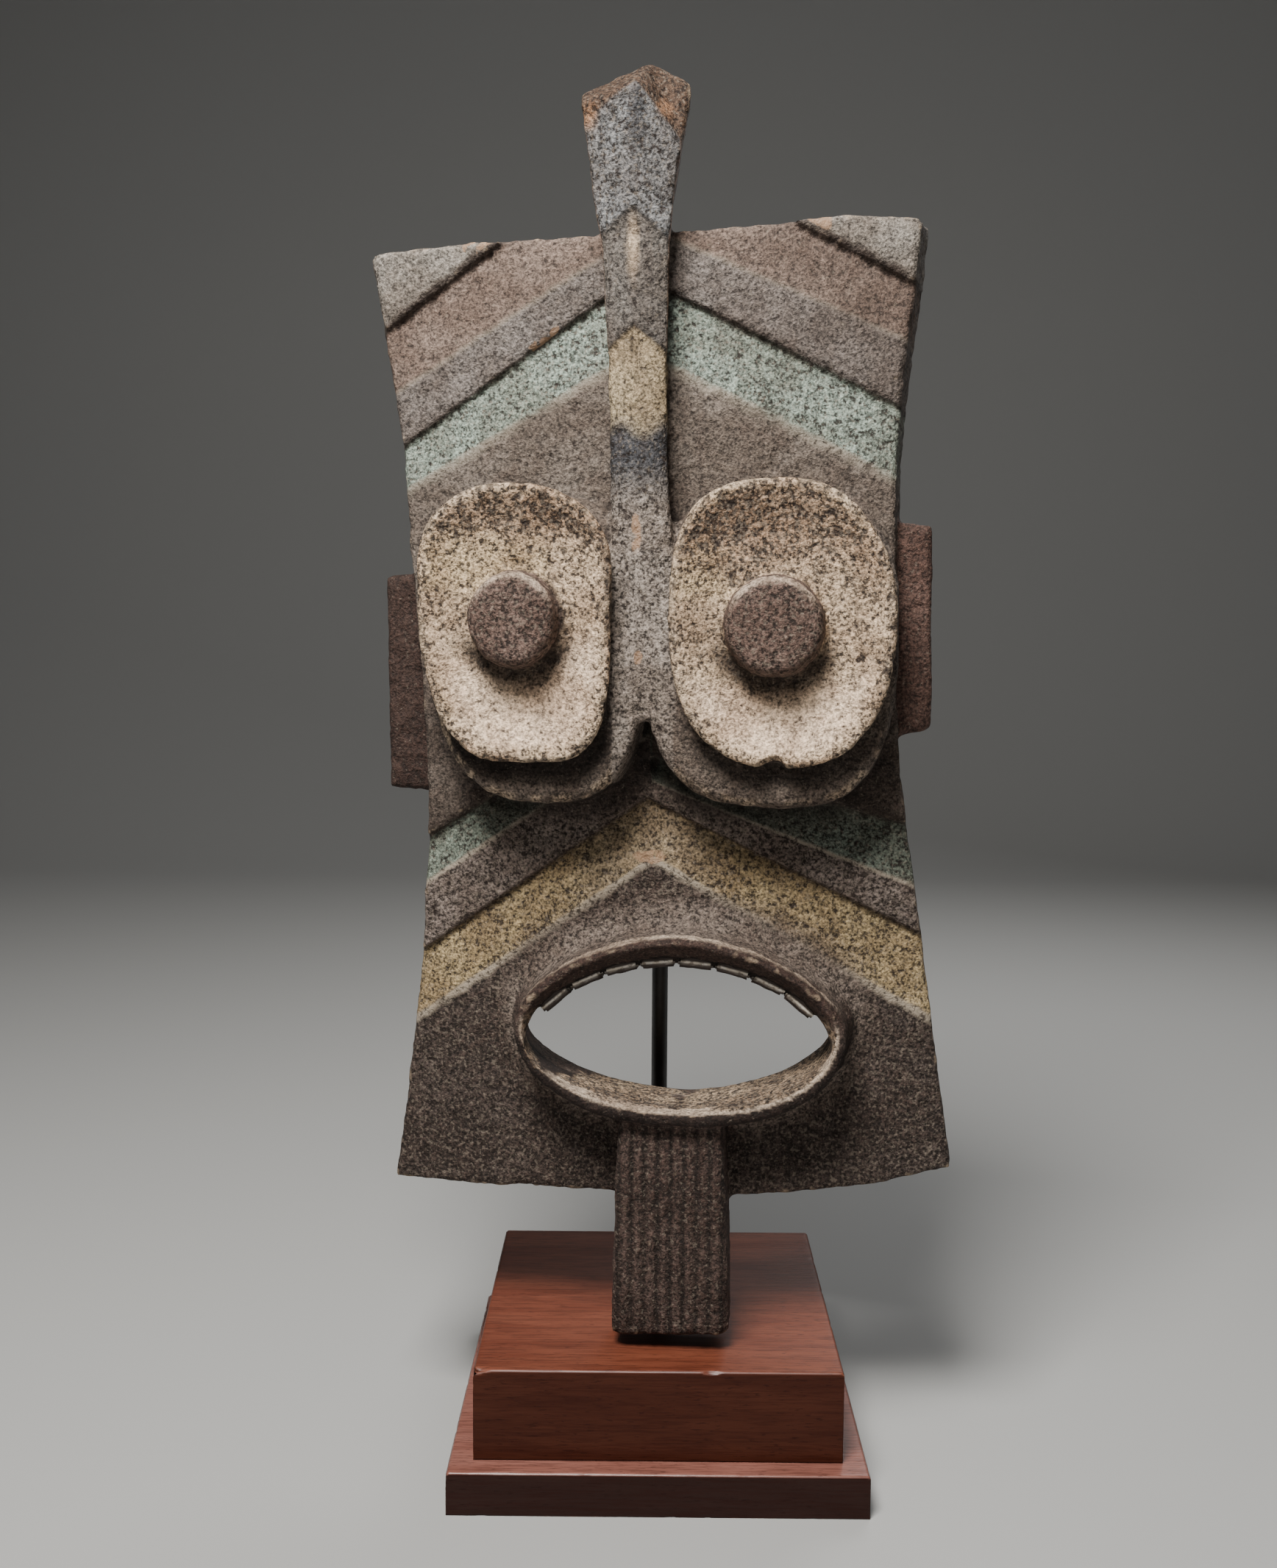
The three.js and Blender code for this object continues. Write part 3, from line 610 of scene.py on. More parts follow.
def paint_tier(s, coat, tier, disc, bar):
    """The tier that carries a disc, with its painted shade and highlight, and the painted shadow on the board
    below it.
    """
    in_tier = s.inside(tier)
    # Painted shadow: the board under the tier darkened, as the tier's cast shadow.
    shadow_below_tier = smoothstep(-17, -2, in_tier) * smoothstep(disc[1] - 38, disc[1] - 58, s.height)
    shadow_below_tier *= (coat.own < 0.5) * smoothstep(OCHRE_BAND, OCHRE_BAND - 0.1, s.band)
    coat.lay("dark", 0.8 * shadow_below_tier * (s.above_board < 3), 0.5)
    on_tier = (in_tier > -2.5) & (s.above_board > 2) & (bar < 0.5)
    coat.lay("tier", on_tier.astype(float), 0.7)
    low = on_tier * smoothstep(disc[1] - 30, disc[1] - 70, s.height)
    # Painted shade on the tier's lower wall, and under the disc's rim.
    coat.lay("under", low * smoothstep(0.45, 0.1, s.facing), 0.3)
    coat.lay("dark", 0.85 * low * smoothstep(-10, -3, s.inside(disc)) * (s.depth < 28), 0.4)
    # Painted highlight: a pale speckled band along the tier's lower front rim, where it catches the light,
    # with the specks of worn paint.
    edge = smoothstep(2.2, 0.8, np.abs(in_tier - 1.8)) * (s.facing > 0.3)
    coat.lay("rim", 0.6 * low * edge * smoothstep(-0.3, 0.3, coat.mottle(51, 4)), 1.2)


def paint_disc(s, coat, disc):
    """A disc, dark at its top and cream at its foot. Returns where its face is."""
    rim = s.inside(disc)
    on_disc = (rim > -2) & (s.depth > DISC_DEPTH)
    on_face = on_disc & (s.depth > DISC_FACE_DEPTH)
    # Painted shade: the disc's side wall painted dark, as the shade of its overhang.
    coat.lay("under", on_disc.astype(float), 0.5)
    coat.lay("rim", on_face.astype(float), 1.2)
    warm = smoothstep(7, 1, rim) * smoothstep(0, 0.6, coat.mottle(3, 16))
    coat.lay("rim_warm", 0.45 * on_face * warm, 1.1)
    rise = (s.height - disc[1]) / np.where(s.height > disc[1], disc[4], disc[5])
    rise = rise + 0.12 * coat.mottle(0, 14)
    inner = on_face * smoothstep(0.5, 6, rim + 2 * coat.mottle(61, 3))
    coat.lay("disc_mid", inner, 0.9)
    coat.lay("disc_yellow", 0.5 * inner * smoothstep(0.1, 0.6, coat.mottle(29, 24) + 0.1), 0.9)
    coat.lay("disc_top", inner * smoothstep(0.12, 0.62, rise + 0.1 * coat.mottle(41, 5)), 1.35)
    coat.lay("disc_low", inner * smoothstep(-0.2, -0.55, rise) * smoothstep(2, 9, rim), 0.5)
    crumbs = smoothstep(4.5, 0.8, rim) * smoothstep(0.05, 0.3, coat.mottle(73, 2.2))
    crumbs *= smoothstep(-0.3, 0.5, (s.across - disc[0]) / disc[3] - 0.5 * rise)
    coat.lay("under", 0.75 * on_face * crumbs, 1.1)
    return on_face


def paint_pupil(s, coat, pupil, on_face):
    """A pupil with a painted highlight along its top edge, and a painted shadow under it on the disc."""
    core = s.inside(pupil)
    rise = (s.height - pupil[1]) / pupil[4]
    wall = (core > -3.2) & (s.depth > PUPIL_FOOT) & (s.facing < 0.8)
    on_pupil = wall | (core > -1) & (s.depth > PUPIL_FACE)
    coat.lay("pupil", on_pupil.astype(float), 0.95)
    # Painted highlight along the pupil's top edge.
    pupil_highlight = on_pupil * smoothstep(2.2, 0.8, np.abs(core - 0.6)) * (s.facing > 0.2)
    coat.lay("pale", 0.7 * pupil_highlight * smoothstep(0.2, 0.8, rise), 0.3)
    # Painted shadow of the pupil on the disc below it.
    pupil_shadow = on_face * smoothstep(-12.5, -4, core) * smoothstep(-0.1, -0.75, rise)
    coat.lay("under", 0.92 * pupil_shadow * (1 - on_pupil), 0.8)


def paint_mouth(s, coat):
    """The mouth ring, its floor and the pale board round it, with painted highlights on the ring, painted
    shade in the throat and painted light on its deep floor. Returns where the ring's edges are kept from the
    pale edge paint of wear and painted highlight.
    """
    ring, slot = s.inside(RING), s.inside(SLOT)
    near_ring = (s.height > MOUTH_HEIGHTS[0]) & (s.height < MOUTH_HEIGHTS[1])
    rise = (s.height - RING[1]) / np.hypot(s.height - RING[1], (s.across - RING[0]) * RING[4] / RING[2])
    lip_width = np.interp(rise, (-1, 0, 1), LIP_WIDTHS[::-1])
    reach = -14 - 10 * smoothstep(-0.2, 0.5, rise)
    halo = near_ring * smoothstep(0, 1, (ring - reach) / (-5 - reach))
    coat.lay("halo", halo * (s.facing > 0), 0.95)

    on_ring = near_ring & (ring > -4.5) & (s.depth > 0.5)
    up = smoothstep(-0.25, 0.2, rise)
    coat.lay("ring_low", on_ring * (1 - up), 0.4)
    coat.lay("ring_top", on_ring * up, 0.5)
    coat.lay("halo", on_ring * smoothstep(0.5, -0.3, ring) * smoothstep(0.05, 0.4, rise), 0.8)
    # Painted highlight: a pale line along the upward-facing outer edge of the ring's upper half.
    ring_top_highlight = on_ring * (s.depth > 17) * smoothstep(0.9, 0.3, np.abs(ring + 0.2))
    ring_top_highlight *= smoothstep(0.1, 0.5, s.normals[:, 2]) * smoothstep(0.15, 0.45, rise)
    coat.lay("pale", 0.75 * ring_top_highlight, 0.3)

    sideways = s.normals[:, 0] * cos(MASK_TURN) + s.normals[:, 1] * sin(MASK_TURN)
    inward = sideways * (SLOT[0] - s.across) + s.normals[:, 2] * (SLOT[1] - s.height)
    inner_wall = (inward > 8) & (ring > 0.8 + 5.4 * smoothstep(-0.25, -0.7, rise))
    throat = near_ring & (slot > -12) & ((ring > lip_width - 0.4) | inner_wall)
    floor_part = smoothstep(0.25, 0.0, rise) * smoothstep(0.8, 0.55, s.facing * (s.depth > 22))
    # Painted shade: the throat's walls, save its floor, darkened where they turn from the front.
    coat.lay("dark", throat * (1 - floor_part) * smoothstep(0.6, 0.25, s.facing), 0.1)
    coat.lay("lip", throat * floor_part, 1.4)
    # Painted light: the deeper floor of the mouth painted paler, as if the light reached into it.
    coat.lay("deep_lip_painted_light", throat * floor_part * smoothstep(14, 2, s.depth), 1.2)
    blots = smoothstep(0.25, 0.5, coat.mottle(91, 4)) * smoothstep(6, 12, s.depth)
    coat.lay("under", 0.6 * throat * floor_part * blots, 1.2)

    # Painted highlight: a pale line along the crest of the lower lip.
    lower_lip_highlight = smoothstep(0.9, 0.35, np.abs(ring - lip_width)) * (s.depth > 16)
    coat.lay("pale", 0.85 * near_ring * lower_lip_highlight * smoothstep(0.2, -0.05, rise), 0.3)
    # Painted shade: the blobs behind and between the teeth painted dark, as the shade in the notches.
    shade_behind_teeth = near_ring & (np.abs(slot) < 4.5) & (s.height > 132)
    coat.lay("dark", shade_behind_teeth & (s.depth > 8) & (s.depth < 17.5), 0.2)
    return on_ring & (rise < 0.2) & (ring < lip_width - 1)


def paint_board(s, coat):
    """Changes of tone within the bands, and painted shade in the deep corner between the eyes."""
    top, foot = OCHRE_BAND, OCHRE_BAND + 1
    ochre = smoothstep(top, top + 0.1, s.band) * smoothstep(foot, foot - 0.1, s.band)
    browned = ochre * smoothstep(46, 14, np.abs(s.across + 2))
    coat.lay("ochre_worn", 0.75 * browned * (coat.own < 0.5), 0.95)
    # Painted shade in the deep corner between the eyes.
    coat.lay("dark", 0.85 * s.near(CORNER_SHADE_SPOT) * (s.above_board < 12), 0.4)
    red_right = smoothstep(0.95, 1.1, s.band) * smoothstep(3.05, 2.9, s.band) * smoothstep(15, 50, s.across)
    coat.lay("wall", 0.35 * red_right * (coat.own < 0.5))


def paint_chin(s, coat):
    left, right = CHIN_SIDES
    on_chin = (s.height < CHIN_TOP) & (s.across > left) & (s.across < right) & (s.above_board > 1)
    coat.lay("chin", on_chin.astype(float), 0.75)
    flute = CHIN_FLUTES * (s.across - left - CHIN_RIM) / (right - left - 2 * CHIN_RIM)
    # Painted shade: the grooves of the flutes darkened.
    coat.lay("dark", 0.85 * on_chin * np.abs(np.cos(pi * flute)) ** 4 * (s.facing > 0.3), 0.8)


def paint_ears(s, coat):
    """Both ears, the left one darker. Returns where they are."""
    low, high = EAR_HEIGHTS
    ears = (np.abs(s.across) > EAR_FROM) & (s.height > low) & (s.height < high) & (s.above_board < EAR_DEPTH)
    coat.lay("ear", ears.astype(float), 0.6)
    coat.lay("ear_left", (ears & (s.across < 0)).astype(float), 0.45)
    return ears


def paint_back(s, coat):
    """The sides of the board, its back and the hollow."""
    coat.lay("wall", smoothstep(0.35, 0.1, s.facing) * (coat.own < 0.5), 0.5)
    back = smoothstep(-0.25, -0.6, s.facing)
    coat.lay("back", back, 0.25)
    coat.lay("hollow", back * smoothstep(-25.5, -24, s.depth), 0.2)


def bare_wood(s, coat):
    """One where the paint is off, at a few spots and along some carved lines."""
    bare = np.zeros(len(s.places))
    for spot in BARE_SPOTS:
        bare = np.maximum(bare, s.near(spot))
    for x, line, reach in BARE_STRIPS:
        strip = smoothstep(reach, 0.4 * reach, np.abs(s.across - x))
        bare = np.maximum(bare, strip * smoothstep(0.11, 0.05, np.abs(s.band - line)))
    return bare * smoothstep(-0.2, 0.3, coat.mottle(17, 3.5) + 0.4) * (s.facing > 0.1)


def in_band(band, number):
    """One within a band, with soft ends."""
    return smoothstep(number - 0.1, number + 0.1, band) * smoothstep(number + 1.1, number + 0.9, band)


def band_specks(band):
    """What the speckled and the crusty bands add to the specks."""
    rich = sum(in_band(band, number) for number in SPECKLED_BANDS)
    crusty = smoothstep(LAST_BAND - 0.1, LAST_BAND + 0.1, band) + in_band(band, CRUSTY_BAND)
    return 0.3 * rich + 0.45 * crusty


def paint_vertices(piece):
    """Writes each part's own colour, with painted light and shade among it, and how far out, worn, speckled
    and painted each point is.
    """
    mesh = piece.data
    s = Surface(mesh, read_vertices(mesh))
    coat = Coat(s)
    bar = paint_bar(s, coat)
    for tier, disc, pupil in EYES:
        paint_tier(s, coat, tier, disc, bar)
        on_face = paint_disc(s, coat, disc)
        paint_pupil(s, coat, pupil, on_face)
    dull_lip = paint_mouth(s, coat)
    paint_board(s, coat)
    paint_chin(s, coat)
    ears = paint_ears(s, coat)
    paint_back(s, coat)
    # How far each point stands out: the material paints it pale on edges and dark in creases, partly wear and
    # grime and partly painted highlight and shade.
    exposure = np.clip(spread(s.exposure(6), s.edges, 2) / 0.5, -1, 1)
    exposure = np.where(ears | dull_lip, 0.2 * exposure, exposure)
    specks = np.where(coat.own < 0.5, coat.specks + band_specks(s.band), coat.specks)
    write_attribute(mesh, "own", coat.own)
    write_attribute(mesh, "specks", specks)
    write_attribute(mesh, "edge", exposure * 0.5 + 0.5)
    write_attribute(mesh, "raw", bare_wood(s, coat))
    write_attribute(mesh, "band", s.band / BAND_COUNT)
    write_colour(mesh, "paint", coat.colour)


def write_attribute(mesh, name, values):
    layer = mesh.attributes.new(name, "FLOAT", "POINT")
    layer.data.foreach_set("value", values.astype(np.float32))


def write_colour(mesh, name, colours):
    layer = mesh.color_attributes.new(name, "FLOAT_COLOR", "POINT")
    rows = np.ones((len(colours), 4), dtype=np.float32)
    rows[:, :3] = colours
    layer.data.foreach_set("color", rows.ravel())


def keep_inside(piece, node):
    """Hold the vertices of a piece just inside the box of its node."""
    low, high = (np.array(corner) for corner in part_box(node))
    inset = BOX_INSET / 1000
    places = read_vertices(piece.data)
    write_vertices(piece.data, np.clip(places, low + inset, high - inset))


def add_mask():
    piece = remeshed("mask", "carved_mask", MASK_VOXEL)
    carve(piece)
    thin_out(piece, MASK_TRIANGLES)
    keep_inside(piece, "mask")
    paint_vertices(piece)
    dress(piece, "mask", patina_material())


# The teeth.

def oval_point(oval, angle):
    x, z, left, right, up, down, powers = oval
    c, s = cos(angle), sin(angle)
    power = powers[2 * (s < 0) + (c >= 0)]
    reach_x = right if c >= 0 else left
    reach_z = up if s >= 0 else down
    across = (1 if c >= 0 else -1) * abs(c) ** (2 / power) * reach_x
    along = (1 if s >= 0 else -1) * abs(s) ** (2 / power) * reach_z
    return np.array([x + across, z + along])


def tooth_ends():
    """The points between the teeth, evenly along the top of the slot."""
    arc = np.array([
        oval_point(SLOT, radians(angle)) for angle in np.linspace(TOOTH_FROM, TOOTH_TO, ARC_STEPS)
    ])
    along_arc = np.concatenate([[0], np.cumsum(np.linalg.norm(np.diff(arc, axis=0), axis=1))])
    marks = np.linspace(0, along_arc[-1], TOOTH_COUNT + 1)
    return np.stack([np.interp(marks, along_arc, arc[:, k]) for k in (0, 1)], axis=1)


def tooth_block(length):
    """The vertices and faces of one rounded block, about its own middle."""
    size = Vector((length, TOOTH_THICKNESS + TOOTH_EXTRA, TOOTH_DROP + TOOTH_ROOT + TOOTH_HEIGHT_EXTRA))
    block = bmesh.new()
    bmesh.ops.create_cube(block, size=1)
    bmesh.ops.scale(block, vec=size, verts=block.verts)
    bmesh.ops.bevel(block, geom=block.edges[:], offset=TOOTH_EDGE, segments=2, affect="EDGES")
    bmesh.ops.subdivide_edges(block, edges=block.edges[:], cuts=TOOTH_CUTS, use_grid_fill=True)
    bmesh.ops.triangulate(block, faces=block.faces[:])
    block.verts.ensure_lookup_table()
    vertices = np.array([vertex.co[:] for vertex in block.verts])
    faces = [[vertex.index for vertex in face.verts] for face in block.faces]
    block.free()
    return vertices, faces


def add_teeth():
    """Worn blocks in a row along the top of the slot."""
    noise = Noise(5)
    vertices, faces, lit = [], [], []
    ends = tooth_ends()
    for i in range(TOOTH_COUNT):
        a, b = ends[i], ends[i + 1]
        middle = (a + b) / 2
        along = (b - a) / np.linalg.norm(b - a)
        out = np.array([-along[1], along[0]])
        local, block_faces = tooth_block(np.linalg.norm(b - a) - TOOTH_GAP)
        rub = 0.3 * noise(local + 40 * i, 3.2) + 0.12 * noise(local + 40 * i, 1.4)
        local *= 1 + (rub / 4)[:, None]
        faces += [[len(vertices) + index for index in face] for face in block_faces]
        for x, y, z in local:
            lift = z + (TOOTH_ROOT - TOOTH_DROP) / 2
            spot = middle + along * x + out * lift
            vertices.append(to_world(spot[0], spot[1], TOOTH_FRONT - TOOTH_THICKNESS / 2 - y))
            # Where each tooth's painted highlight lies.
            off_line = abs(lift - TOOTH_HIGHLIGHT_HEIGHT)
            lit.append(float(smoothstep(TOOTH_HIGHLIGHT + TOOTH_HIGHLIGHT_SOFT, TOOTH_HIGHLIGHT, off_line)))
    piece = piece_from("tooth_row", vertices, faces)
    write_attribute(piece.data, "lit", np.array(lit))
    dress(piece, None, tooth_material())


# The stand.

def wear_base(mesh, seed, chips):
    """Softened edges with small dents along them, and the few chips."""
    sharp = read_vertices(mesh)
    edges = read_edges(mesh)
    soft = spread(sharp, edges, 1)
    normals = read_normals(mesh)
    points = sharp * 1000
    noise = Noise(seed)
    on_edge = smoothstep(0.05, 0.4, np.linalg.norm(points - spread(soft, edges, 8) * 1000, axis=1))
    push = 0.06 * noise(points, 30) - BASE_INSET
    push -= 0.35 * smoothstep(0.45, 0.9, noise(points + 50, 7)) * on_edge
    for spot, reach, deep in chips:
        distance = np.linalg.norm((points - np.array(spot)) / np.array(reach), axis=1)
        push -= deep * smoothstep(1, 0.3, distance + 0.25 * noise(points, 2))
    write_vertices(mesh, soft + normals * (push / 1000)[:, None])


def add_base_piece(node, name, seed, chips, material):
    """The block or the board of the stand."""
    piece = remeshed(node, name, BASE_VOXEL)
    wear_base(piece.data, seed, chips)
    thin_out(piece, BASE_TRIANGLES)
    mesh = piece.data
    normals = read_normals(mesh)
    exposure = stand_out(read_vertices(mesh), read_edges(mesh), normals, 6)
    write_attribute(mesh, "edge", np.clip(exposure / 0.8, -1, 1) * 0.5 + 0.5)
    # One on the upright sides, which the material paints darker as painted shade.
    write_attribute(mesh, "side", smoothstep(0.75, 0.45, normals[:, 2]))
    dress(piece, node, material)


def add_stand():
    low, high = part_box("upper_block")
    corner = (low[0] * 1000, low[1] * 1000, high[2] * 1000)
    along_edge = (corner[0] + EDGE_CHIP_X, corner[1], corner[2])
    chips = [(corner, (7, 4, 3.5), 1.6), (along_edge, (5, 2, 2), 0.7)]
    # The block's sides keep a third of its colour, as painted shade.
    block = stained_wood("mahogany_block", linear(120, 68, 50), linear(104, 56, 41), 0.42, 0.33)
    add_base_piece("upper_block", "block_body", 3, chips, block)
    # The plinth's lighter, pinker colour stands for the sheen on its top: painted sheen. Its sides keep a
    # tenth of the colour, as painted shade.
    plinth = stained_wood("plinth_board", linear(146, 99, 88), linear(132, 86, 75), 0.32, 0.1)
    add_base_piece("lower_plinth", "plinth_body", 4, [], plinth)


def rod_path(foot, top, ahead):
    """The rod's middle line: straight up, a round bend, then forward into the board."""
    bend_height = top - ROD_RADIUS
    path = [Vector((0, 0, foot)), Vector((0, 0, bend_height - ROD_BEND))]
    for i in range(1, ROD_BEND_STEPS + 1):
        angle = pi / 2 * i / ROD_BEND_STEPS
        rise = Vector((0, 0, bend_height - ROD_BEND * (1 - sin(angle))))
        path.append(rise + ahead * ROD_BEND * (1 - cos(angle)))
    path.append(Vector((0, 0, bend_height)) + ahead * ROD_FORWARD)
    return path


def add_rod():
    """The round rod, in rings of vertices along its middle line."""
    low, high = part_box("stand_rod")
    ahead = Vector((sin(MASK_TURN), -cos(MASK_TURN), 0))
    side = Vector((cos(MASK_TURN), sin(MASK_TURN), 0))
    path = rod_path(low[2], high[2], ahead)
    vertices, faces = [], []
    for k, point in enumerate(path):
        along = (path[min(k + 1, len(path) - 1)] - path[max(k - 1, 0)]).normalized()
        up = side.cross(along)
        for j in range(ROD_SIDES):
            angle = 2 * pi * j / ROD_SIDES
            vertices.append(point + ROD_RADIUS * (cos(angle) * side + sin(angle) * up))
    for k in range(len(path) - 1):
        for j in range(ROD_SIDES):
            a, b = k * ROD_SIDES + j, k * ROD_SIDES + (j + 1) % ROD_SIDES
            faces.append((a, b, b + ROD_SIDES, a + ROD_SIDES))
    faces.append(list(range(ROD_SIDES))[::-1])
    last = (len(path) - 1) * ROD_SIDES
    faces.append([last + j for j in range(ROD_SIDES)])
    piece = piece_from("steel_rod", vertices, faces)
    bevel = piece.modifiers.new("ends", "BEVEL")
    bevel.width = ROD_END_BEVEL
    bevel.limit_method = "ANGLE"
    apply_modifiers(piece)
    keep_inside(piece, "stand_rod")
    dress(piece, "stand_rod", black_steel())


# Materials.

def new_material(name, roughness):
    material = bpy.data.materials.new(name)
    material.use_nodes = True
    tree = material.node_tree
    shader = tree.nodes["Principled BSDF"]
    shader.inputs["Roughness"].default_value = roughness
    return material, shader, tree


class Nodes:
    """Short calls for the nodes of one material."""

    def __init__(self, tree):
        self.tree = tree
        self.place = tree.nodes.new("ShaderNodeTexCoord").outputs["Object"]

    def link(self, source, target):
        self.tree.links.new(source, target)

    def feed(self, target, value):
        if isinstance(value, (int, float)):
            target.default_value = value
        elif isinstance(value, tuple):
            target.default_value = (*value, 1) if len(value) == 3 else value
        else:
            self.link(value, target)

    def attribute(self, name, output="Fac"):
        node = self.tree.nodes.new("ShaderNodeAttribute")
        node.attribute_name = name
        return node.outputs[output]

    def math(self, operation, a, b=0.0, c=0.0):
        node = self.tree.nodes.new("ShaderNodeMath")
        node.operation = operation
        for socket, value in zip(node.inputs, (a, b, c)):
            self.feed(socket, value)
        return node.outputs[0]

    def step(self, value, low, high):
        node = self.tree.nodes.new("ShaderNodeMapRange")
        node.interpolation_type = "SMOOTHSTEP"
        self.feed(node.inputs["Value"], value)
        node.inputs["From Min"].default_value = low
        node.inputs["From Max"].default_value = high
        return node.outputs["Result"]

    def noise(self, scale, detail=3.0, stretch=None, roughness=0.55):
        node = self.tree.nodes.new("ShaderNodeTexNoise")
        node.inputs["Scale"].default_value = scale
        node.inputs["Detail"].default_value = detail
        node.inputs["Roughness"].default_value = roughness
        place = self.place
        if stretch:
            mapping = self.tree.nodes.new("ShaderNodeMapping")
            mapping.inputs["Scale"].default_value = stretch
            self.link(place, mapping.inputs["Vector"])
            place = mapping.outputs["Vector"]
        self.link(place, node.inputs["Vector"])
        return node.outputs["Fac"]

    def strokes(self, band):
        """Noise drawn out along the carved bands, as the marks of a blade."""
        split = self.tree.nodes.new("ShaderNodeSeparateXYZ")
        self.link(self.place, split.inputs[0])
        join = self.tree.nodes.new("ShaderNodeCombineXYZ")
        self.link(self.math("MULTIPLY", split.outputs["X"], 24.0), join.inputs["X"])
        self.link(self.math("MULTIPLY", band, 110.0), join.inputs["Z"])
        node = self.tree.nodes.new("ShaderNodeTexNoise")
        node.inputs["Scale"].default_value = 1
        node.inputs["Detail"].default_value = 3
        self.link(join.outputs[0], node.inputs["Vector"])
        return node.outputs["Fac"]

    def brighten(self, colour, value, factor):
        """The colour with its brightness multiplied by a value."""
        node = self.tree.nodes.new("ShaderNodeHueSaturation")
        self.feed(node.inputs["Value"], self.math("MAXIMUM", value, 0.2))
        self.feed(node.inputs["Fac"], factor)
        self.link(colour, node.inputs["Color"])
        return node.outputs["Color"]

    def mix(self, factor, a, b, blend="MIX"):
        node = self.tree.nodes.new("ShaderNodeMix")
        node.data_type = "RGBA"
        node.blend_type = blend
        sockets = {socket.identifier: socket for socket in node.inputs}
        self.feed(sockets["Factor_Float"], factor)
        self.feed(sockets["A_Color"], a)
        self.feed(sockets["B_Color"], b)
        return next(socket for socket in node.outputs if socket.identifier == "Result_Color")

    def ramp(self, value, stops):
        node = self.tree.nodes.new("ShaderNodeValToRGB")
        ramp = node.color_ramp
        while len(ramp.elements) < len(stops):
            ramp.elements.new(0.5)
        for element, (position, colour) in zip(ramp.elements, stops):
            element.position = position
            element.color = (*colour, 1)
        self.feed(node.inputs["Fac"], value)
        return node.outputs["Color"]

    def bump(self, height, strength, distance):
        node = self.tree.nodes.new("ShaderNodeBump")
        node.inputs["Strength"].default_value = strength
        node.inputs["Distance"].default_value = distance
        self.feed(node.inputs["Height"], height)
        return node.outputs["Normal"]

    def cover(self, colour, share, strength, over, blend="MIX"):
        """The colour with another one laid over it, by a share of the full strength."""
        return self.mix(self.math("MULTIPLY", share, strength), colour, over, blend)


# Colours of the bands from the top down. The sixth is a darker copy of the fifth on the lower half of the
# same wide facet: painted shade round and below the eyes.
BAND_COLOURS = [
    linear(127, 121, 113), linear(111, 96, 87), linear(112, 105, 100), linear(121, 131, 121),
    linear(104, 95, 87), linear(90, 81, 74), linear(100, 107, 97), linear(100, 90, 84),
    linear(138, 121, 91), linear(60, 52, 48),
]
BAND_SOFT = 0.003
# Painted highlights along the carved ridges: the band under each ridge line, and how strong its painted
# highlight is.
RIDGE_HIGHLIGHT_BANDS = {2: 0.3, 4: 0.45, 7: 0.95, 9: 0.9}
# Painted shade at the carved steps: the band under each step, and how dark its painted shadow line is.
GROOVE_SHADE_BANDS = {1: 0.75, 3: 0.75, 6: 0.75, 8: 0.75}
RIDGE_HIGHLIGHT_WIDTH = 0.006
GROOVE_SHADE_WIDTH = 0.007


def band_stops():
    """Two stops for each band, with a narrow blend into the next."""
    stops = []
    for i, colour in enumerate(BAND_COLOURS):
        stops.append((i / BAND_COUNT + (BAND_SOFT if i else 0), colour))
        stops.append(((i + 1) / BAND_COUNT - (BAND_SOFT if i + 1 < BAND_COUNT else 0), colour))
    return stops


def line_stops(bands, width):
    """Grey as strong as each band says at the line above it, and black elsewhere."""
    stops = []
    for band, share in bands.items():
        middle = band / BAND_COUNT
        stops += [(middle - width, (0, 0, 0)), (middle - width / 3, (share, share, share))]
        stops += [(middle + width / 3, (share, share, share)), (middle + width, (0, 0, 0))]
    return stops


def soiled(n, colour, cloud, on_board):
    """Broad stains, the marks of the blade along the bands, and upright streaks."""
    colour = n.cover(colour, n.step(cloud, 0.6, 0.4), 0.4, linear(150, 128, 112), "MULTIPLY")
    strokes = n.step(n.strokes(n.attribute("band")), 0.45, 0.7)
    colour = n.mix(n.math("MULTIPLY", strokes, n.math("MULTIPLY", on_board, 0.2)), colour, linear(70, 56, 49))
    streak = n.noise(150, 4, stretch=(1, 1, 0.14))
    return n.cover(colour, n.step(streak, 0.45, 0.7), 0.25, linear(66, 54, 48))


def flecked(n, colour, specks, mid, coarse):
    """Dark flecks, dark blots and pale grains, rarer where there are few specks."""
    rare = n.math("MULTIPLY_ADD", specks, -0.16, 0.16)
    fleck = n.step(n.math("ADD", mid, rare), 0.46, 0.395)
    colour = n.cover(colour, fleck, 0.72, linear(42, 34, 30))
    blot = n.step(n.math("ADD", coarse, rare), 0.42, 0.35)
    colour = n.cover(colour, blot, 0.75, linear(44, 35, 31))
    grain = n.step(n.math("SUBTRACT", n.noise(700, 3), rare), 0.5, 0.68)
    return n.cover(colour, grain, 0.3, linear(160, 146, 130))


def rubbed(n, colour):
    """Pale edges, of wear and painted highlight; grime and painted shade in the corners; and bare wood where
    the paint is off.
    """
    edge = n.math("MULTIPLY_ADD", n.noise(300, 3), 0.3, n.attribute("edge"))
    # Pale edges: wear and painted highlight.
    colour = n.cover(colour, n.step(edge, 0.88, 1.08), 0.5, linear(186, 164, 138))
    # Dark corners: grime and painted shade.
    colour = n.cover(colour, n.step(edge, 0.5, 0.25), 0.75, linear(36, 28, 24))
    raw = n.math("ADD", n.attribute("raw"), n.math("MULTIPLY", n.noise(380, 2), 0.5))
    return n.cover(colour, n.step(raw, 0.6, 0.9), 0.6, linear(168, 134, 106))


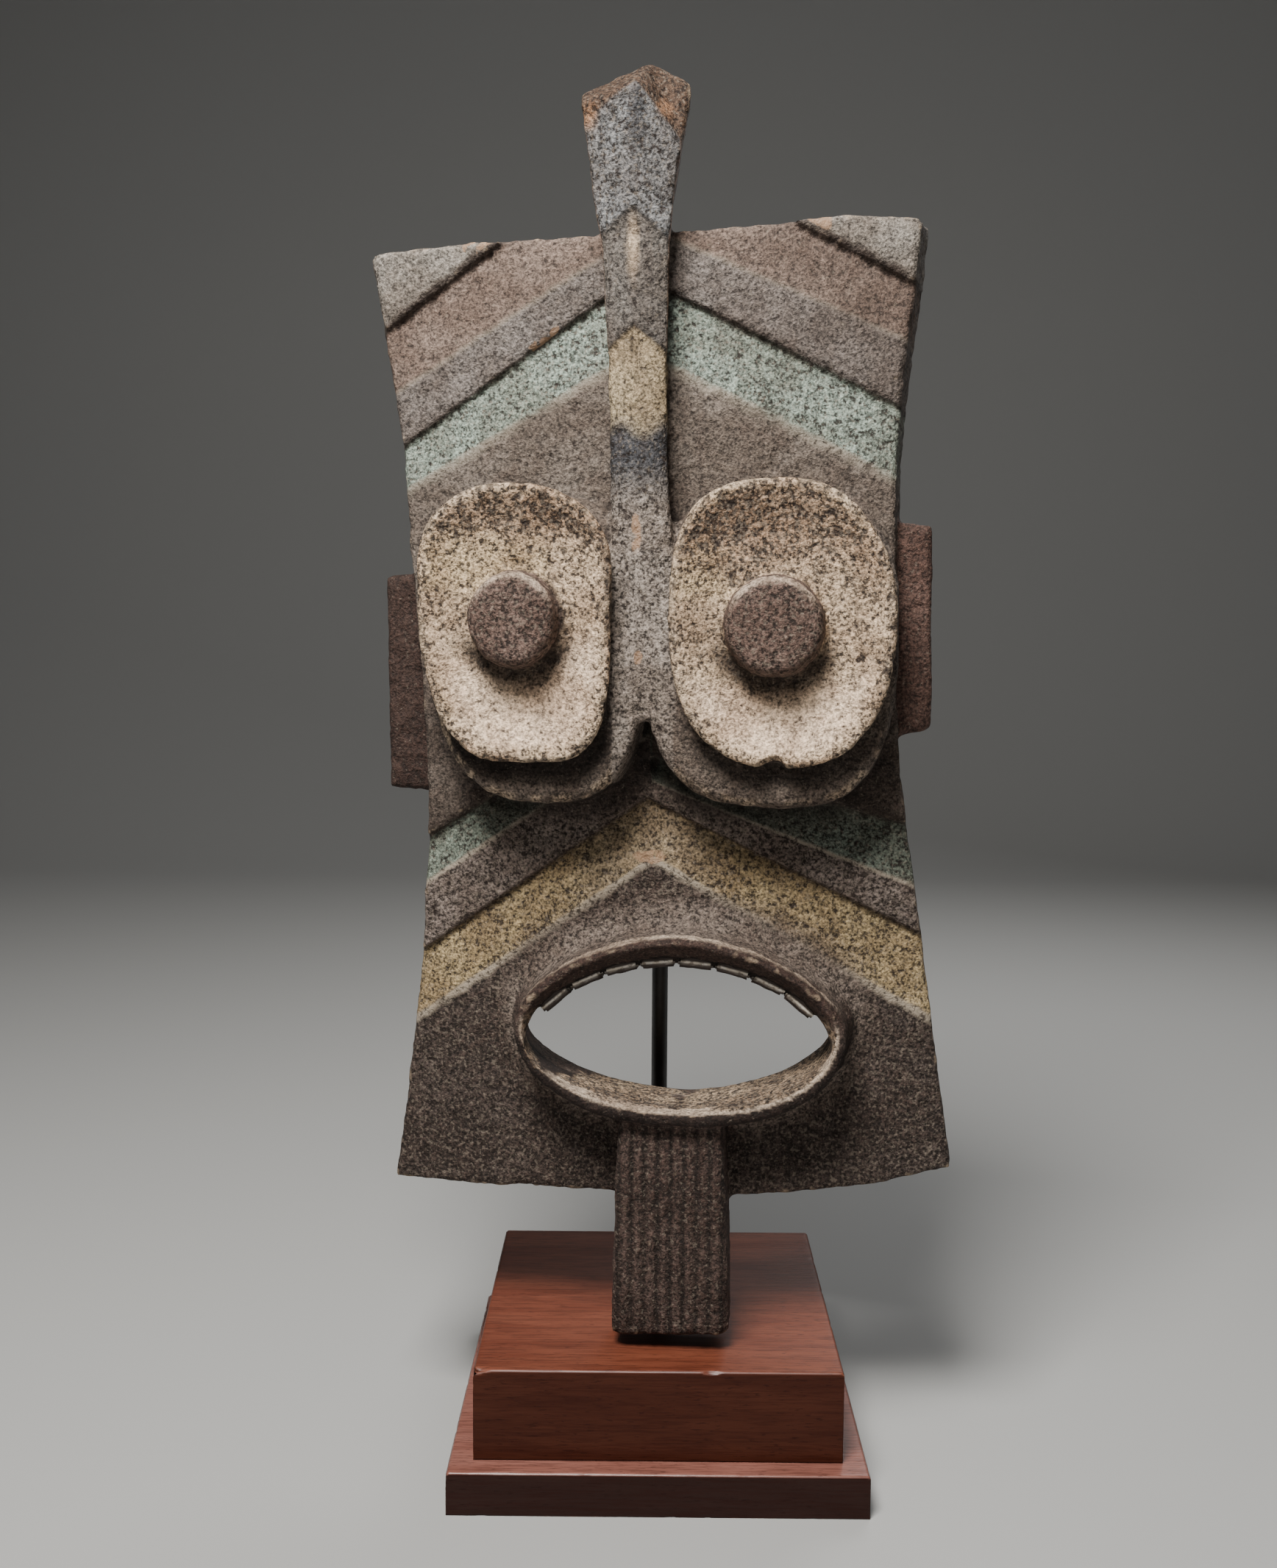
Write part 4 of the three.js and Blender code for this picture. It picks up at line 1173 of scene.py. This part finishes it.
def patina_material():
    """The painted bands and parts of the mask under a crust of specks and grime, with painted highlights and
    painted shade along the carved lines.
    """
    material, shader, tree = new_material("banded_patina", 0.86)
    n = Nodes(tree)
    cloud = n.noise(42, 4)
    grit = n.noise(1000, 2, roughness=0.6)
    mid = n.noise(520, 3, roughness=0.65)
    coarse = n.noise(220, 4, roughness=0.65)
    own = n.attribute("own")
    specks = n.attribute("specks")
    on_board = n.math("SUBTRACT", 1.0, own)
    wobble = n.math("MULTIPLY_ADD", n.noise(160, 2), 0.007, -0.0035)
    band = n.math("ADD", n.attribute("band"), wobble)
    ridge_highlight = n.math("MULTIPLY", n.ramp(band, line_stops(RIDGE_HIGHLIGHT_BANDS, RIDGE_HIGHLIGHT_WIDTH)), on_board)
    groove_shade = n.math("MULTIPLY", n.ramp(band, line_stops(GROOVE_SHADE_BANDS, GROOVE_SHADE_WIDTH)), on_board)
    colour = n.mix(own, n.ramp(band, band_stops()), n.attribute("paint", "Color"))
    colour = soiled(n, colour, cloud, on_board)
    bright = 1.08
    for layer, contrast in ((grit, 5.0), (mid, 4.6), (coarse, 1.2)):
        bright = n.math("MULTIPLY_ADD", n.math("SUBTRACT", layer, 0.5), contrast, bright)
    colour = n.brighten(colour, bright, n.math("MULTIPLY_ADD", specks, 0.7, 0.3))
    # Painted highlight: a pale line along each carved ridge, broken up by the cloud noise.
    colour = n.mix(n.math("MULTIPLY", ridge_highlight, n.step(cloud, 0.2, 0.5)), colour, linear(158, 146, 130))
    # Painted shadow: a dark line under each carved step.
    colour = n.mix(groove_shade, colour, linear(46, 35, 30))
    colour = rubbed(n, flecked(n, colour, specks, mid, coarse))
    n.link(colour, shader.inputs["Base Color"])
    n.link(n.math("MULTIPLY_ADD", coarse, 0.25, 0.7), shader.inputs["Roughness"])
    shader.inputs["Specular IOR Level"].default_value = 0.3
    relief = n.math("MULTIPLY_ADD", mid, 0.5, n.math("MULTIPLY", grit, 0.4))
    relief = n.math("MULTIPLY_ADD", coarse, 0.8, relief)
    n.link(n.bump(relief, 0.9, 0.0017), shader.inputs["Normal"])
    return material


def tooth_material():
    material, shader, tree = new_material("worn_teeth", 0.6)
    n = Nodes(tree)
    colour = n.mix(n.step(n.noise(260, 3), 0.4, 0.62), linear(232, 218, 198), linear(250, 240, 226))
    colour = n.cover(colour, n.step(n.noise(520, 3), 0.5, 0.38), 0.6, linear(88, 70, 58))
    # Painted light and shade: each tooth is dark as painted shade, save the painted highlight along its lit
    # line.
    colour = n.mix(n.attribute("lit"), linear(58, 46, 39), colour)
    n.link(colour, shader.inputs["Base Color"])
    n.link(n.bump(n.noise(500, 3), 0.5, 0.0006), shader.inputs["Normal"])
    return material


def stained_wood(name, light, dark, roughness, side_lit_share):
    """Satin stained wood with its grain along X, with painted shade down its sides, and worn pale along the
    edges.
    """
    material, shader, tree = new_material(name, roughness)
    n = Nodes(tree)
    fibre = n.noise(1100, 4, stretch=(0.06, 1, 1))
    figure = n.noise(150, 5, stretch=(0.12, 1, 1))
    colour = n.mix(n.step(figure, 0.3, 0.7), dark, light)
    # Painted shade: the sides darkened towards near black, keeping only a share of the colour.
    colour = n.cover(colour, n.attribute("side"), 1 - side_lit_share, linear(9, 4, 3))
    colour = n.cover(colour, n.step(fibre, 0.55, 0.38), 0.35, linear(46, 20, 14))
    pores = n.noise(1500, 2, stretch=(0.15, 1, 1))
    colour = n.cover(colour, n.step(pores, 0.4, 0.3), 0.5, linear(34, 15, 11))
    edge = n.math("MULTIPLY_ADD", n.noise(220, 3), 0.35, n.attribute("edge"))
    colour = n.cover(colour, n.step(edge, 0.9, 1.15), 0.5, linear(206, 150, 122))
    n.link(colour, shader.inputs["Base Color"])
    n.link(n.math("MULTIPLY_ADD", figure, 0.2, roughness - 0.1), shader.inputs["Roughness"])
    n.link(n.math("MULTIPLY_ADD", n.attribute("side"), -0.35, 0.5), shader.inputs["Specular IOR Level"])
    n.link(n.bump(fibre, 0.25, 0.0004), shader.inputs["Normal"])
    return material


def black_steel():
    material, shader, tree = new_material("black_steel", 0.5)
    n = Nodes(tree)
    colour = n.mix(n.step(n.noise(200, 3), 0.4, 0.7), linear(18, 18, 19), linear(34, 33, 33))
    n.link(colour, shader.inputs["Base Color"])
    n.link(n.math("MULTIPLY_ADD", n.noise(90, 3), 0.2, 0.4), shader.inputs["Roughness"])
    n.link(n.bump(n.noise(1400, 2), 0.2, 0.0003), shader.inputs["Normal"])
    return material


add_camera()
add_lights()
add_floor()
add_mask()
add_teeth()
add_stand()
add_rod()
